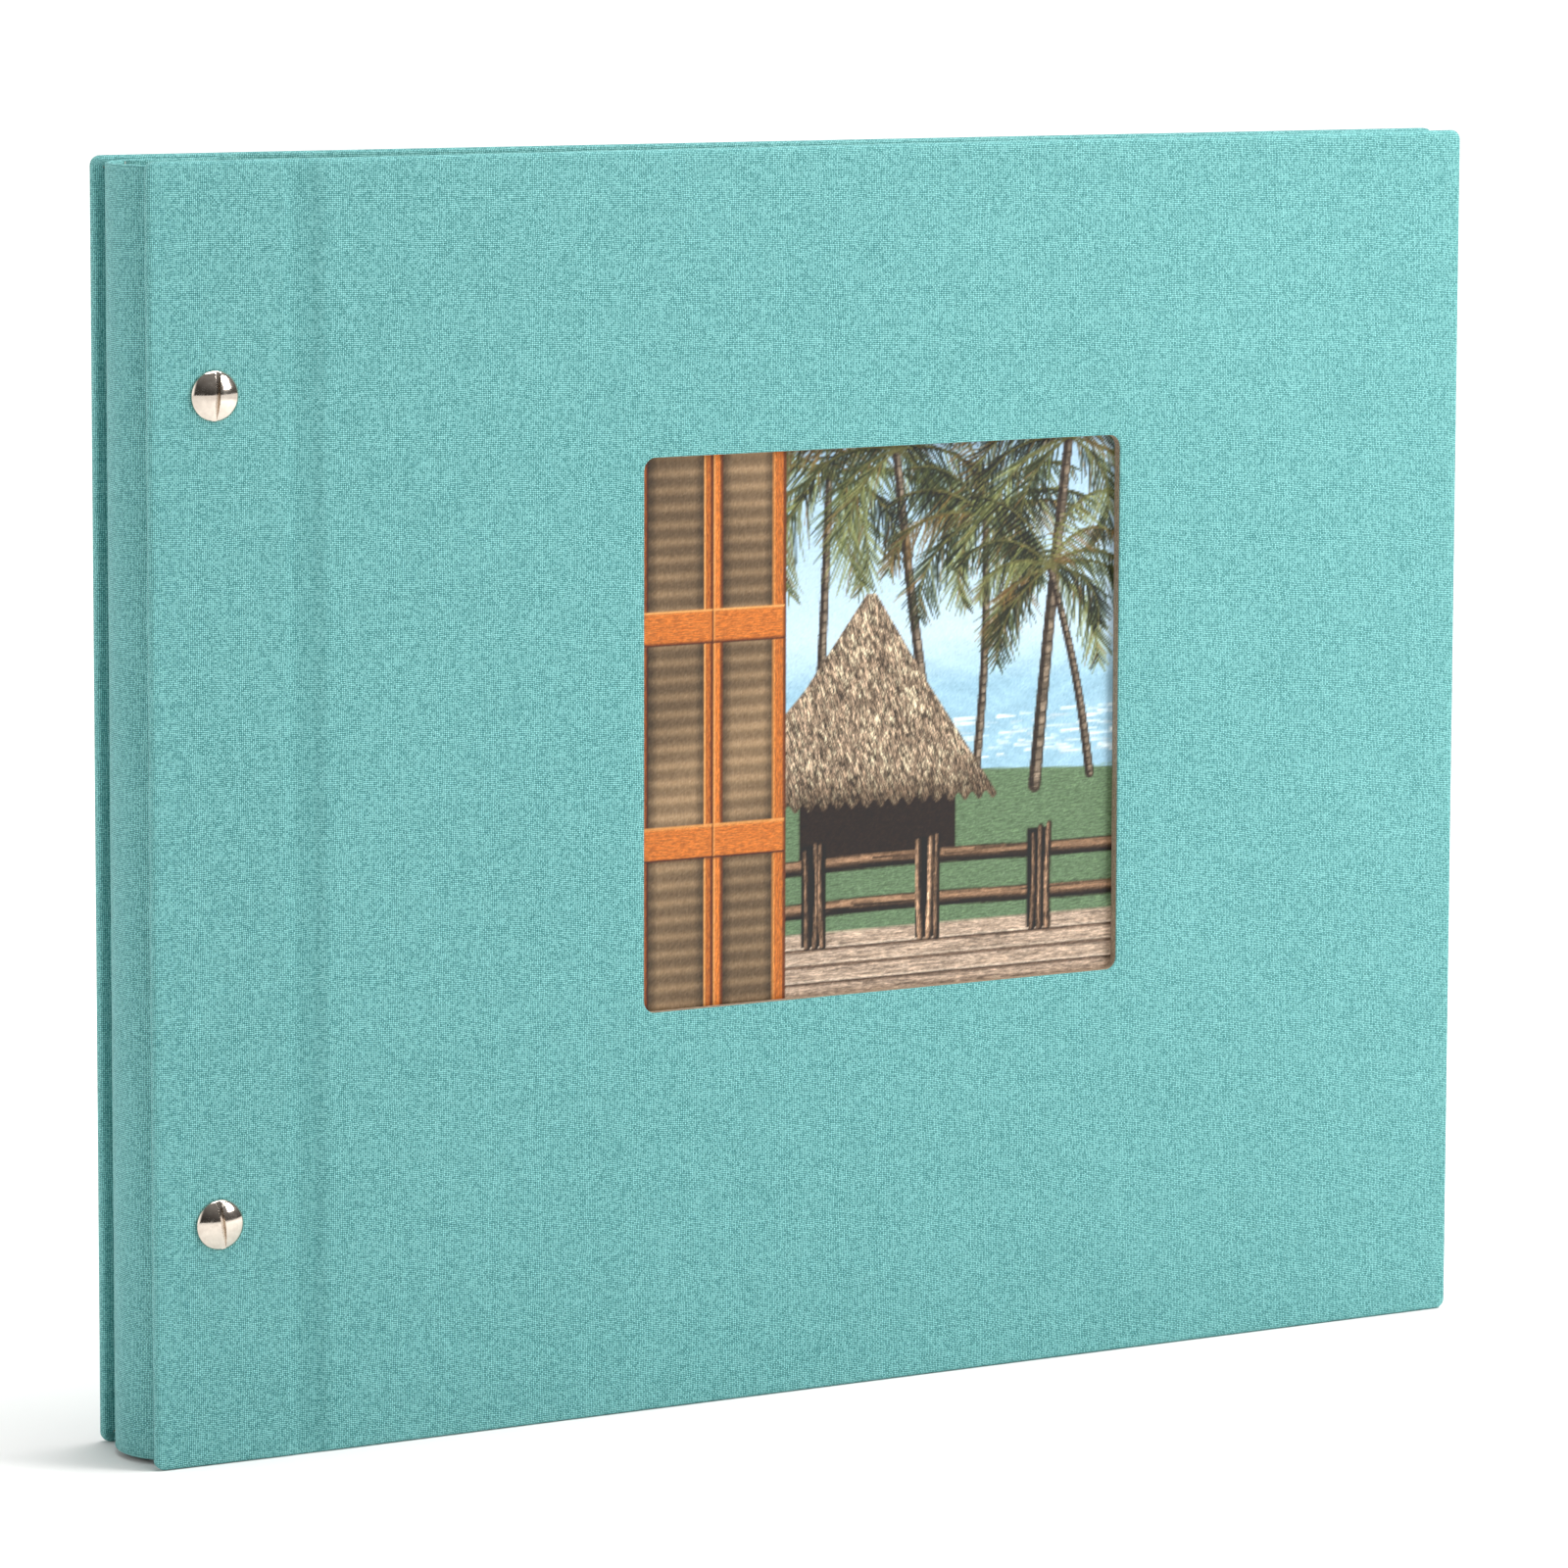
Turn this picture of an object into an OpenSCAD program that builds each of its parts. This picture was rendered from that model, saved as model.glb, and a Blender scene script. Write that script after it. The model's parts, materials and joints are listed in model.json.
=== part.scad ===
// Screw-bound landscape photo album, standing closed on its lower edges.
// X runs from the binding edge to the fore edge, Y from the front cover to the
// back cover, and Z is up. The origin is the middle of the footprint, on the shelf.

/* [Covers] */
// Width of a cover, binding edge to fore edge
cover_w = 300; // [240:1:340]
// Height of a cover
cover_h = 250; // [200:1:300]
// Thickness of the grey board inside a cover
board_t = 1.8; // [1.2:0.1:3]
// Thickness of the book linen
linen_t = 0.3; // [0.2:0.05:0.5]
// Thickness of the paper that lines the inside of a cover
lining_t = 0.2; // [0.1:0.05:0.4]
// Width of linen folded in over the inner face of the board
turn_in = 15; // [8:1:20]
// Radius of the cover's corners
corner_r = 2; // [1:0.5:4]
// Overall thickness over both covers at the binding
binding_t = 28.8; // [26:0.1:34]
// Overall thickness over both covers at the fore edge
fore_edge_t = 12.6; // [12.6:0.1:20]

/* [Hinges] */
// Width of the stiff strip that the screws hold
strip_w = 28; // [24:1:34]
// Width of the soft groove between the strip and the cover panel
groove_w = 8; // [7:0.5:12]
// Depth of the groove's linen below the strip's face
groove_dip = 1; // [0.5:0.1:1.4]

/* [Window] */
// Width of the picture window
window_w = 110.5; // [60:0.5:140]
// Height of the picture window
window_h = 110; // [60:0.5:140]
// Distance from the binding edge to the window
window_left = 105.6; // [80:0.1:120]
// Distance from the cover's lower edge to the window
window_low = 79.8; // [60:0.1:90]
// Radius of the window's corners
window_r = 2.5; // [1:0.5:6]
// Border of the picture hidden behind the board
picture_border = 7; // [4:1:12]
// Thickness of the picture print
print_t = 0.25; // [0.15:0.01:0.28]

/* [Spine] */
// How far the rounded spine stands out past the covers
spine_out = 1.5; // [0:0.1:3]
// Distance from the binding edge to the spine's folds
spine_recess = 6; // [3:0.1:8]
// Thickness of the spine's card core
spine_card_t = 0.5; // [0.3:0.1:0.8]
// Gap from the end of the spine to the end of the covers
spine_gap = 1.2; // [0.5:0.1:4]
// Width of the spine's flaps under the hinge strips
flap_w = 20; // [14:1:24]

/* [Leaves] */
// Number of card leaves
leaf_count = 20; // [4:1:20]
// Thickness of a card leaf
leaf_t = 0.28; // [0.15:0.01:0.28]
// Distance from the edge of a leaf to the edge of the cover
leaf_inset = 4; // [3:0.5:8]
// Distance from the middle of the groove to the leaves' creases
crease_offset = 2; // [0:0.1:3]
// Thickness of a glassine interleaf
glassine_t = 0.04; // [0.03:0.01:0.04]

/* [Screws] */
// Distance from the binding edge to the screws
screw_inset = 13.3; // [10:0.1:18]
// Distance between the two screws
screw_spacing = 158.8; // [80:0.1:200]
// How far the point midway between the screws lies above the middle of the cover
screw_rise = 1.2; // [-3:0.1:3]
// Diameter of a screw's head
head_d = 9.8; // [8:0.1:11]
// Height of a screw's head
head_h = 2; // [1.5:0.1:2]
// Diameter of the post's barrel
barrel_d = 5; // [4.5:0.1:6]
// Diameter of the screw's shank
shank_d = 3.6; // [3:0.1:4]
// Width of the slot in a head
slot_w = 0.9; // [0.7:0.1:1.4]
// Turn of the upper screw's slot from upright
upper_slot_turn = -4; // [-90:1:90]
// Turn of the lower screw's slot from upright
lower_slot_turn = 7; // [-90:1:90]

/* [Hidden] */
// A two-figure name, such as leaf_01
function numbered(name, number) = str(name, "_", number < 10 ? "0" : "", number);

$fn = 96;

LINEN = [0.36, 0.69, 0.67];
GREYBOARD = [0.55, 0.48, 0.4];
LINING = [0.93, 0.92, 0.89];
CARD = [0.96, 0.95, 0.92];
NICKEL = [0.75, 0.73, 0.7];

// Depths into a cover, counted from its outer face
board_in = linen_t;
board_out = board_in + board_t;
cloth_out = board_out + linen_t;
cover_t = cloth_out + lining_t;

// Plan of the binding
binding_edge = -(cover_w + spine_out) / 2 + spine_out;
outer_face = -binding_t / 2;
hinge_s = strip_w + groove_w / 2;
hinge_x = binding_edge + hinge_s;
pivot_gap = 0.3;
pivot_y = outer_face - pivot_gap;
panel_near = strip_w + groove_w;
panel_reach = cover_w - hinge_s;
cover_tilt = asin((binding_t - fore_edge_t) / 2 / panel_reach);
lining_inset = 3;

// The spine's web is an arc through both folds
fold_y = binding_t / 2 - cloth_out;
spine_rise = spine_out + spine_recess;
spine_r = (fold_y * fold_y + spine_rise * spine_rise) / (2 * spine_rise);
spine_t = linen_t + spine_card_t;
spine_middle_s = spine_r - spine_out;

// The leaves fill the room between the spine's flaps and close up to the fore edge
stack_t = 2 * (fold_y - spine_t);
leaf_pitch = stack_t / leaf_count;
fore_gap = 0.1;
fore_stack_t = fore_edge_t - 2 * cover_t - 2 * fore_gap;
crease_s = hinge_s + crease_offset;
leaf_w = cover_w - crease_s - leaf_inset;
leaf_h = cover_h - 2 * leaf_inset;
crease_gap = 0.3;
guard_gap = 0.3;
guard_slack = 0.02;
glassine_margin = 3;
glassine_gap = 0.02;

// The guards start just inside the web's inner face
web_inside = sqrt(pow(spine_r - spine_t, 2) - pow(stack_t / 2, 2));
guard_start = spine_middle_s - web_inside + guard_gap;
guard_w = crease_s - crease_gap - guard_start;

// Screws
screw_z = [for (up = [1, -1]) cover_h / 2 + screw_rise + up * screw_spacing / 2];
screw_x = binding_edge + screw_inset;
hole_d = barrel_d + 0.4;
bore_d = shank_d + 0.1;
bore_depth = 22;
barrel_short = 1;
shank_l = 9.5;
rim_h = 0.5;
slot_depth = head_h - rim_h - 0.2;
seat_gap = 0.02;
e = 0.01;

// Helpers

// Stands a flat outline up in the X-Z plane, from depth y0 to depth y1
module slab(y0, y1) {
    translate([0, y1, 0]) rotate([90, 0, 0]) linear_extrude(y1 - y0) children();
}

// A rectangle with round corners
module rounded(w, h, r) {
    translate([r, 0]) square([w - 2 * r, h]);
    translate([0, r]) square([w, h - 2 * r]);
    for (x = [r, w - r], y = [r, h - r]) translate([x, y]) circle(r);
}

// Outline of the hinge strip, round at the binding edge, shrunk by d all round
module strip_outline(d) {
    translate([d, d]) {
        rounded(strip_w - 2 * d, cover_h - 2 * d, corner_r - d);
        translate([strip_w / 2, 0]) square([strip_w / 2 - 2 * d, cover_h - 2 * d]);
    }
}

// Outline of the cover panel, round at the fore edge, shrunk by d all round
module panel_outline(d) {
    w = cover_w - panel_near - 2 * d;
    translate([panel_near + d, d]) {
        rounded(w, cover_h - 2 * d, corner_r - d);
        square([w / 2, cover_h - 2 * d]);
    }
}

// Outline inside the turned-in linen of a piece from s0 to s1
module inside_turn_in(s0, s1) {
    translate([s0, turn_in]) square([s1 - s0, cover_h - 2 * turn_in]);
}

module window_outline() {
    translate([window_left, window_low]) rounded(window_w, window_h, window_r);
}

// The picture's own outline, or the pocket's when slack is more than 0
module picture_outline(slack) {
    b = picture_border + slack;
    translate([window_left - b, window_low - b])
        square([window_w + 2 * b, window_h + 2 * b]);
}

// Puts a cover's own plan (s from the binding edge, y from its outer face) in place
module front_strip_place() {
    translate([binding_edge, outer_face, 0]) children();
}

module front_panel_place() {
    translate([hinge_x, pivot_y, 0]) rotate([0, 0, cover_tilt])
        translate([-hinge_s, pivot_gap, 0]) children();
}

module back_strip_place() { mirror([0, 1, 0]) front_strip_place() children(); }

module back_panel_place() { mirror([0, 1, 0]) front_panel_place() children(); }

// Holes for both screws, through everything between depths y0 and y1 of the strip
module screw_holes(y0, y1) {
    for (z = screw_z) translate([screw_inset, y1, z]) rotate([90, 0, 0])
        cylinder(d = hole_d, h = y1 - y0);
}

// Hinge strips

module hinge_board() {
    difference() {
        slab(board_in, board_out) strip_outline(linen_t);
        screw_holes(0, cover_t);
    }
}

// The narrow strip is wrapped all round, because its turn-ins overlap
module hinge_cloth() {
    difference() {
        slab(0, cloth_out) strip_outline(0);
        slab(board_in, board_out) strip_outline(linen_t);
        screw_holes(-1, cover_t);
    }
}

module front_hinge_board() { color(GREYBOARD) front_strip_place() hinge_board(); }

module front_hinge_cloth() { color(LINEN) front_strip_place() hinge_cloth(); }

module back_hinge_board() { color(GREYBOARD) back_strip_place() hinge_board(); }

module back_hinge_cloth() { color(LINEN) back_strip_place() hinge_cloth(); }

// Soft joints

// The linen of the groove: a shallow trough from the strip's edge to the panel's edge
module joint_cloth() {
    joint_t = linen_t + lining_t;
    end_gap = 0.5;
    half = groove_w / 2 - 0.1;
    trough_r = (half * half + groove_dip * groove_dip) / (2 * groove_dip);
    translate([hinge_s - 0.1, 0, end_gap]) linear_extrude(cover_h - 2 * end_gap)
        intersection() {
            translate([0, groove_dip - trough_r]) difference() {
                circle(trough_r + joint_t);
                circle(trough_r);
            }
            translate([-half, 0]) square([2 * half, groove_dip + joint_t + e]);
        }
}

module front_joint_cloth() { color(LINEN) front_strip_place() joint_cloth(); }

module back_joint_cloth() { color(LINEN) back_strip_place() joint_cloth(); }

// Cover panels

module panel_board() { slab(board_in, board_out) panel_outline(linen_t); }

module panel_cloth() {
    difference() {
        slab(0, cloth_out) panel_outline(0);
        panel_board();
        slab(board_out - e, cloth_out + e)
            inside_turn_in(panel_near + turn_in, cover_w - turn_in);
    }
}

module lining_outline() {
    translate([panel_near + lining_inset, lining_inset])
        square([cover_w - panel_near - 2 * lining_inset, cover_h - 2 * lining_inset]);
}

module front_cover_board() {
    color(GREYBOARD) front_panel_place() difference() {
        panel_board();
        slab(-1, cover_t) window_outline();
    }
}

module front_cover_cloth() {
    color(LINEN) front_panel_place() difference() {
        panel_cloth();
        slab(-1, cover_t) window_outline();
    }
}

module front_cover_lining() {
    color(LINING) front_panel_place() slab(cloth_out, cover_t) lining_outline();
}

// The print lies against the back of the board and shows through the window
module window_picture() {
    color("tan") front_panel_place()
        slab(board_out + e, board_out + e + print_t) picture_outline(0);
}

// Filler card level with the turn-ins, cut out for the print. The cut-out runs on to the
// fore edge, where the lining isn't glued, so the print slips in and out there.
module picture_pocket() {
    pocket_slack = 1;
    b = picture_border + pocket_slack;
    mouth_x = window_left + window_w;
    color(CARD) front_panel_place() difference() {
        slab(board_out, cloth_out) inside_turn_in(panel_near + turn_in, cover_w - turn_in);
        slab(board_out - e, cloth_out + e) {
            picture_outline(pocket_slack);
            translate([mouth_x, window_low - b])
                square([cover_w - turn_in - mouth_x + e, window_h + 2 * b]);
        }
    }
}

module back_cover_board() { color(GREYBOARD) back_panel_place() panel_board(); }

module back_cover_cloth() { color(LINEN) back_panel_place() panel_cloth(); }

// With no picture to hold, the back lining fills the room between the turn-ins itself
module back_cover_lining() {
    color(LINING) back_panel_place() {
        slab(cloth_out, cover_t) lining_outline();
        slab(board_out, cloth_out + e) inside_turn_in(panel_near + turn_in, cover_w - turn_in);
    }
}

// Spine

// Everything inside the spine's outside less d: the arc of the web, then the flaps' room
module spine_inside(d, reach) {
    intersection() {
        translate([spine_middle_s, 0]) circle(spine_r - d);
        translate([-spine_r, -spine_r]) square([spine_r + spine_recess + e, 2 * spine_r]);
    }
    translate([spine_recess, d - fold_y]) square([reach, 2 * (fold_y - d)]);
}

// One layer of the spine, from depth d_out to d_in below its outside
module spine_layer(d_out, d_in) {
    difference() {
        translate([binding_edge, 0, spine_gap]) linear_extrude(cover_h - 2 * spine_gap)
            difference() {
                spine_inside(d_out, flap_w);
                spine_inside(d_in, flap_w + 1);
            }
        front_strip_place() screw_holes(-1, binding_t + 1);
    }
}

module spine_cloth() { color(LINEN) spine_layer(0, linen_t); }

module spine_board() { color(CARD) spine_layer(linen_t, spine_t); }

// Leaves

// Leaves are numbered from the front cover, starting at 1
function leaf_y(n) = (n - 0.5) * leaf_pitch - stack_t / 2;
function leaf_tilt(n) = -asin(leaf_y(n) * (1 - fore_stack_t / stack_t) / leaf_w);

// The punched and doubled margins of the leaves, which the screws clamp
module leaf_guards() {
    color(CARD) difference() {
        for (n = [1:leaf_count])
            translate([binding_edge + guard_start, leaf_y(n) - leaf_pitch / 2, leaf_inset])
                cube([guard_w, leaf_pitch - guard_slack, leaf_h]);
        front_strip_place() screw_holes(-1, binding_t + 1);
    }
}

// Puts a leaf's own plan (x from the crease, y from its middle) in place
module leaf_place(n) {
    translate([binding_edge + crease_s, leaf_y(n), leaf_inset])
        rotate([0, 0, leaf_tilt(n)]) children();
}

module leaf(n) {
    color(CARD) leaf_place(n) translate([0, -leaf_t / 2, 0]) cube([leaf_w, leaf_t, leaf_h]);
}

// A translucent sheet over the front of each leaf, glued along the crease
module glassine(n) {
    m = glassine_margin;
    color([0.95, 0.95, 0.93, 0.6]) leaf_place(n)
        translate([m, -leaf_t / 2 - glassine_gap - glassine_t, m / 2])
            cube([leaf_w - 1.5 * m, glassine_t, leaf_h - m]);
}

// Screws

// A domed head on its seat, pointing along -Y, with a slot turned from upright
module slotted_head(slot_turn) {
    cap_h = head_h - rim_h;
    cap_r = (head_d * head_d / 4 + cap_h * cap_h) / (2 * cap_h);
    rotate([90, 0, 0]) difference() {
        union() {
            cylinder(d = head_d, h = rim_h);
            intersection() {
                translate([0, 0, head_h - cap_r]) sphere(cap_r);
                cylinder(d = head_d, h = head_h + 1);
            }
        }
        rotate([0, 0, slot_turn]) translate([-slot_w / 2, -head_d, head_h - slot_depth])
            cube([slot_w, 2 * head_d, head_h]);
    }
}

module screw(z, slot_turn) {
    color(NICKEL) translate([screw_x, outer_face - seat_gap, z]) {
        slotted_head(slot_turn);
        translate([0, shank_l, 0]) rotate([90, 0, 0]) cylinder(d = shank_d, h = shank_l + e);
    }
}

module upper_screw() { screw(screw_z[0], upper_slot_turn); }

module lower_screw() { screw(screw_z[1], lower_slot_turn); }

// The two posts: a head at the back and a bored barrel through the whole binding
module binding_posts() {
    color(NICKEL) for (z = screw_z) difference() {
        translate([screw_x, -outer_face, z]) {
            mirror([0, 1, 0]) slotted_head(0);
            rotate([90, 0, 0]) cylinder(d = barrel_d, h = binding_t - barrel_short);
        }
        translate([screw_x, outer_face + bore_depth, z]) rotate([90, 0, 0])
            cylinder(d = bore_d, h = bore_depth + 1);
    }
}

front_hinge_board();
front_hinge_cloth();
back_hinge_board();
back_hinge_cloth();
spine_board();
spine_cloth();
leaf_guards();
binding_posts();
front_cover_board();
front_cover_cloth();
front_cover_lining();
window_picture();
picture_pocket();
back_cover_board();
back_cover_cloth();
back_cover_lining();
front_joint_cloth();
back_joint_cloth();
upper_screw();
lower_screw();
for (n = [1:leaf_count]) {
    leaf(n);
    glassine(n);
}
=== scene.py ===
"""Looks of a screw-bound, linen-covered landscape album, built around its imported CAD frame."""
import json
import math
import random

import bpy
import numpy as np
from mathutils import Matrix, Vector, noise


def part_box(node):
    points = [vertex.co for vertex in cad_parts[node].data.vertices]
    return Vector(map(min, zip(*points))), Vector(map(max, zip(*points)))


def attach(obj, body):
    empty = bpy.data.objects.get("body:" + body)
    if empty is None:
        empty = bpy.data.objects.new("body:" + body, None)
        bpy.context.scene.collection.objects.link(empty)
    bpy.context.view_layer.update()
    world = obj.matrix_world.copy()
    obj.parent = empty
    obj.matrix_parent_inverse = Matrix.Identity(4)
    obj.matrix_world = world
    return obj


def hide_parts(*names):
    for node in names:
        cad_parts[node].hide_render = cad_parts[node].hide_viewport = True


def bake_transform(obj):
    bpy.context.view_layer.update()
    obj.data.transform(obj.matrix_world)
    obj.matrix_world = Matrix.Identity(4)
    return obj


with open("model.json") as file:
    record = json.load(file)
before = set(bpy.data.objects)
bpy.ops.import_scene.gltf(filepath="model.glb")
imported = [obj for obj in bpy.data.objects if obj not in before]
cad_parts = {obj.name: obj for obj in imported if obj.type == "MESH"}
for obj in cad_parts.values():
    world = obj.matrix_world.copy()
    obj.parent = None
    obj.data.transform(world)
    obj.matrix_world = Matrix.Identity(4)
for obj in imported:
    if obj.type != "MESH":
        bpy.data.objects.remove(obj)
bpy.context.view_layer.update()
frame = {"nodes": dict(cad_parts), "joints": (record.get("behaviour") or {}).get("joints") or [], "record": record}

MM = 0.001
RECORD = frame["record"]
JOINTS = {joint["name"]: joint for joint in frame["joints"]}
MOUNTS = {mount["name"]: mount for mount in RECORD["mounts"]}


def box_mm(node):
    """Lowest and highest corner of a CAD node, in millimetres."""
    low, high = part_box(node)
    return low / MM, high / MM


# ---------------------------------------------------------------- sizes, in millimetres
strip_low, strip_high = box_mm("front_hinge_cloth")
_, panel_high = box_mm("front_cover_cloth")
spine_low, spine_high = box_mm("spine_cloth")
print_low, print_high = box_mm("window_picture")

LINEN_T = 0.3           # book linen
BOARD_T = 1.8           # grey board inside the covers
INNER_DEPTH = 2.4       # from a cover's outer face to the inner face of its turn-ins
TURN_IN = 15.0          # linen folded over the inner face
CORNER_R = 2.0          # corners of the covers
EDGE_ROUND = 0.9        # roundness of the covered edges
GROOVE_DIP = 0.6        # depth of the soft groove
GROOVE_FLAT = 1.3       # half width of its floor
GROOVE_REACH = 4.9      # half width of the whole groove
WINDOW_R = 2.5          # corners of the window
WINDOW_LIP = 0.2        # roundness of the cut linen

edge_x = strip_low.x
outer_y = strip_low.y
cover_h = strip_high.z
strip_w = strip_high.x - strip_low.x
hinge = Vector(JOINTS["front_cover_hinge"]["pos_m"]) / MM
hinge_s = hinge.x - edge_x
pivot_gap = outer_y - hinge.y
tilt_sin, tilt_cos = MOUNTS["back_cover_face"]["axis"][:2]
cover_w = hinge_s + (panel_high.x - hinge.x) / tilt_cos
picture_border = 7.0
window_left = hinge_s + (print_low.x - hinge.x + INNER_DEPTH * tilt_sin) / tilt_cos + picture_border
window_right = hinge_s + (print_high.x - hinge.x + INNER_DEPTH * tilt_sin) / tilt_cos - picture_border
window_low = print_low.z + picture_border
window_high = print_high.z - picture_border


def smooth(t):
    """0 below 0, 1 above 1, and a smooth rise between."""
    t = min(max(t, 0.0), 1.0)
    return t * t * (3 - 2 * t)


def ticks(start, stop, step):
    """Evenly spaced values from start to stop, no further apart than step, without the last."""
    count = max(1, math.ceil((stop - start) / step - 1e-6))
    return [start + (stop - start) * k / count for k in range(count)]


def lines(*stretches):
    """All the grid lines of (start, step) stretches; the last entry is the end."""
    found = []
    for (start, step), (stop, _) in zip(stretches, stretches[1:]):
        found += ticks(start, stop, step)
    return found + [stretches[-1][0]]


def cover_point(side, s, depth, z):
    """A point of a cover's plan in the row frame, in metres. s runs from the binding edge, depth
    inwards from the outer face; side is -1 for the front cover and 1 for the back one."""
    strip_x, strip_y = edge_x + s, outer_y + depth
    u, v = s - hinge_s, depth + pivot_gap
    panel_x = hinge.x + u * tilt_cos - v * tilt_sin
    panel_y = hinge.y + u * tilt_sin + v * tilt_cos
    share = smooth((u / (hinge_s - strip_w) + 1) / 2)
    x = strip_x + (panel_x - strip_x) * share
    y = strip_y + (panel_y - strip_y) * share
    return Vector((x, -side * y, z)) * MM


def groove(s):
    """0 on the boards and 1 on the floor of the soft groove."""
    return smooth((GROOVE_REACH - abs(s - hinge_s)) / (GROOVE_REACH - GROOVE_FLAT))


def outer_depth(s, z):
    """Depth of the linen's outer face: the groove, which is shallower at the turned ends."""
    ends = 0.5 + 0.5 * smooth((min(z, cover_h - z) - 1) / 3)
    waver = 0.035 * noise.noise(Vector((s, z, 0)) / 9) + 0.015 * noise.noise(Vector((s, z, 5)) / 2.6)
    return GROOVE_DIP * groove(s) * ends + waver * smooth((min(z, cover_h - z, s) - 1) / 4)


def inner_depth(s):
    return INNER_DEPTH - 0.55 * groove(s)


# ---------------------------------------------------------------- mesh making
class Sheet:
    """Collects the points and faces of one mesh. Each point keeps its place on the flat cloth,
    in millimetres, and how rubbed it is, from 0 to 1; below 0 it holds painted shade, for a fold."""

    def __init__(self):
        self.points, self.flat, self.rub, self.faces = [], [], [], []

    def add(self, point, flat=(0, 0), rub=0.0):
        self.points.append(point)
        self.flat.append((flat[0], flat[1], 0.0))
        self.rub.append(rub)
        return len(self.points) - 1

    def strip(self, row_a, row_b, closed=False):
        """Quads between two rows of points."""
        count = len(row_a) if closed else len(row_a) - 1
        for k in range(count):
            m = (k + 1) % len(row_a)
            self.faces.append((row_a[k], row_a[m], row_b[m], row_b[k]))

    def build(self, name, material, merge=1e-7, smooth_faces=True):
        mesh = bpy.data.meshes.new(name)
        mesh.from_pydata(self.points, [], self.faces)
        flat = mesh.attributes.new("cloth", "FLOAT_VECTOR", "POINT")
        flat.data.foreach_set("vector", np.array(self.flat, np.float32).ravel())
        rub = mesh.attributes.new("rub", "FLOAT", "POINT")
        rub.data.foreach_set("value", np.array(self.rub, np.float32))
        return finish_mesh(name, mesh, material, merge, smooth_faces)


def add_object(name, data):
    """A new object in the scene that shows the given mesh, camera or light."""
    added = bpy.data.objects.new(name, data)
    bpy.context.scene.collection.objects.link(added)
    return added


def finish_mesh(name, mesh, material, merge=1e-7, smooth_faces=True):
    """Merges doubled points, drops faces with no area, turns the normals out and makes the piece."""
    import bmesh
    bm = bmesh.new()
    bm.from_mesh(mesh)
    bmesh.ops.remove_doubles(bm, verts=bm.verts, dist=merge)
    bmesh.ops.dissolve_degenerate(bm, edges=bm.edges, dist=merge)
    bmesh.ops.recalc_face_normals(bm, faces=bm.faces)
    for face in bm.faces:
        face.smooth = smooth_faces
    bm.to_mesh(mesh)
    bm.free()
    mesh.materials.append(material)
    return add_object(name, mesh)


# ---------------------------------------------------------------- materials
class Shader:
    """Adds shader nodes and links them in short lines."""

    def __init__(self, name, **finish):
        self.material = bpy.data.materials.new(name)
        self.material.use_nodes = True
        self.tree = self.material.node_tree
        self.tree.nodes.clear()
        output = self.tree.nodes.new("ShaderNodeOutputMaterial")
        self.surface = self.add("ShaderNodeBsdfPrincipled")
        self.tree.links.new(self.surface.outputs[0], output.inputs[0])
        for socket, value in finish.items():
            self.feed(self.surface.inputs[socket.replace("_", " ")], value)

    def add(self, kind, inputs=None, **settings):
        node = self.tree.nodes.new(kind)
        for key, value in settings.items():
            setattr(node, key, value)
        for key, value in (inputs or {}).items():
            self.feed(node.inputs[key], value)
        return node

    def feed(self, socket, value):
        if isinstance(value, bpy.types.NodeSocket):
            self.tree.links.new(value, socket)
        else:
            socket.default_value = value

    def attribute(self, name, output="Vector"):
        return self.add("ShaderNodeAttribute", attribute_name=name).outputs[output]

    def place(self):
        """The point's own place in the row frame, in metres."""
        return self.add("ShaderNodeTexCoord").outputs["Object"]

    def place_mm(self):
        return self.vector("SCALE", self.place(), scale=1000.0)

    def math(self, operation, a, b=0.0, c=0.0, clamp=False):
        node = self.add("ShaderNodeMath", {0: a, 1: b, 2: c}, operation=operation, use_clamp=clamp)
        return node.outputs[0]

    def vector(self, operation, a, b=(0, 0, 0), scale=1.0):
        node = self.add("ShaderNodeVectorMath", {0: a, 1: b, 3: scale}, operation=operation)
        return node.outputs[0]

    def split(self, vector):
        node = self.add("ShaderNodeSeparateXYZ", {0: vector})
        return node.outputs[0], node.outputs[1], node.outputs[2]

    def join(self, x, y, z=0.0):
        return self.add("ShaderNodeCombineXYZ", {0: x, 1: y, 2: z}).outputs[0]

    def noise(self, vector, scale, detail=2.0, roughness=0.5, output=0):
        inputs = {"Vector": vector, "Scale": scale, "Detail": detail, "Roughness": roughness}
        return self.add("ShaderNodeTexNoise", inputs).outputs[output]

    def blend(self, share, a, b):
        """A number between a and b."""
        node = self.add("ShaderNodeMix", {0: share, 2: a, 3: b}, data_type="FLOAT")
        return node.outputs[0]

    def mix(self, share, a, b, kind="MIX"):
        """A colour between a and b."""
        node = self.add("ShaderNodeMix", {0: share, 6: a, 7: b}, data_type="RGBA", blend_type=kind)
        return node.outputs[2]

    def ramp(self, value, *stops):
        node = self.add("ShaderNodeValToRGB", {0: value})
        elements = node.color_ramp.elements
        while len(elements) < len(stops):
            elements.new(0.5)
        for element, (position, colour) in zip(elements, stops):
            element.position = position
            element.color = colour
        return node.outputs[0]

    def level(self, value, low, high, to_low=0.0, to_high=1.0):
        """Maps low..high to to_low..to_high, smoothly and clamped."""
        node = self.add("ShaderNodeMapRange", {0: value, 1: low, 2: high, 3: to_low, 4: to_high},
                        interpolation_type="SMOOTHSTEP")
        return node.outputs[0]

    def bump(self, height, distance, strength=1.0, below=None):
        inputs = {"Height": height, "Distance": distance, "Strength": strength}
        if below is not None:
            inputs["Normal"] = below
        return self.add("ShaderNodeBump", inputs).outputs[0]

    def done(self, **links):
        for socket, value in links.items():
            self.feed(self.surface.inputs[socket.replace("_", " ")], value)
        return self.material


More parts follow.
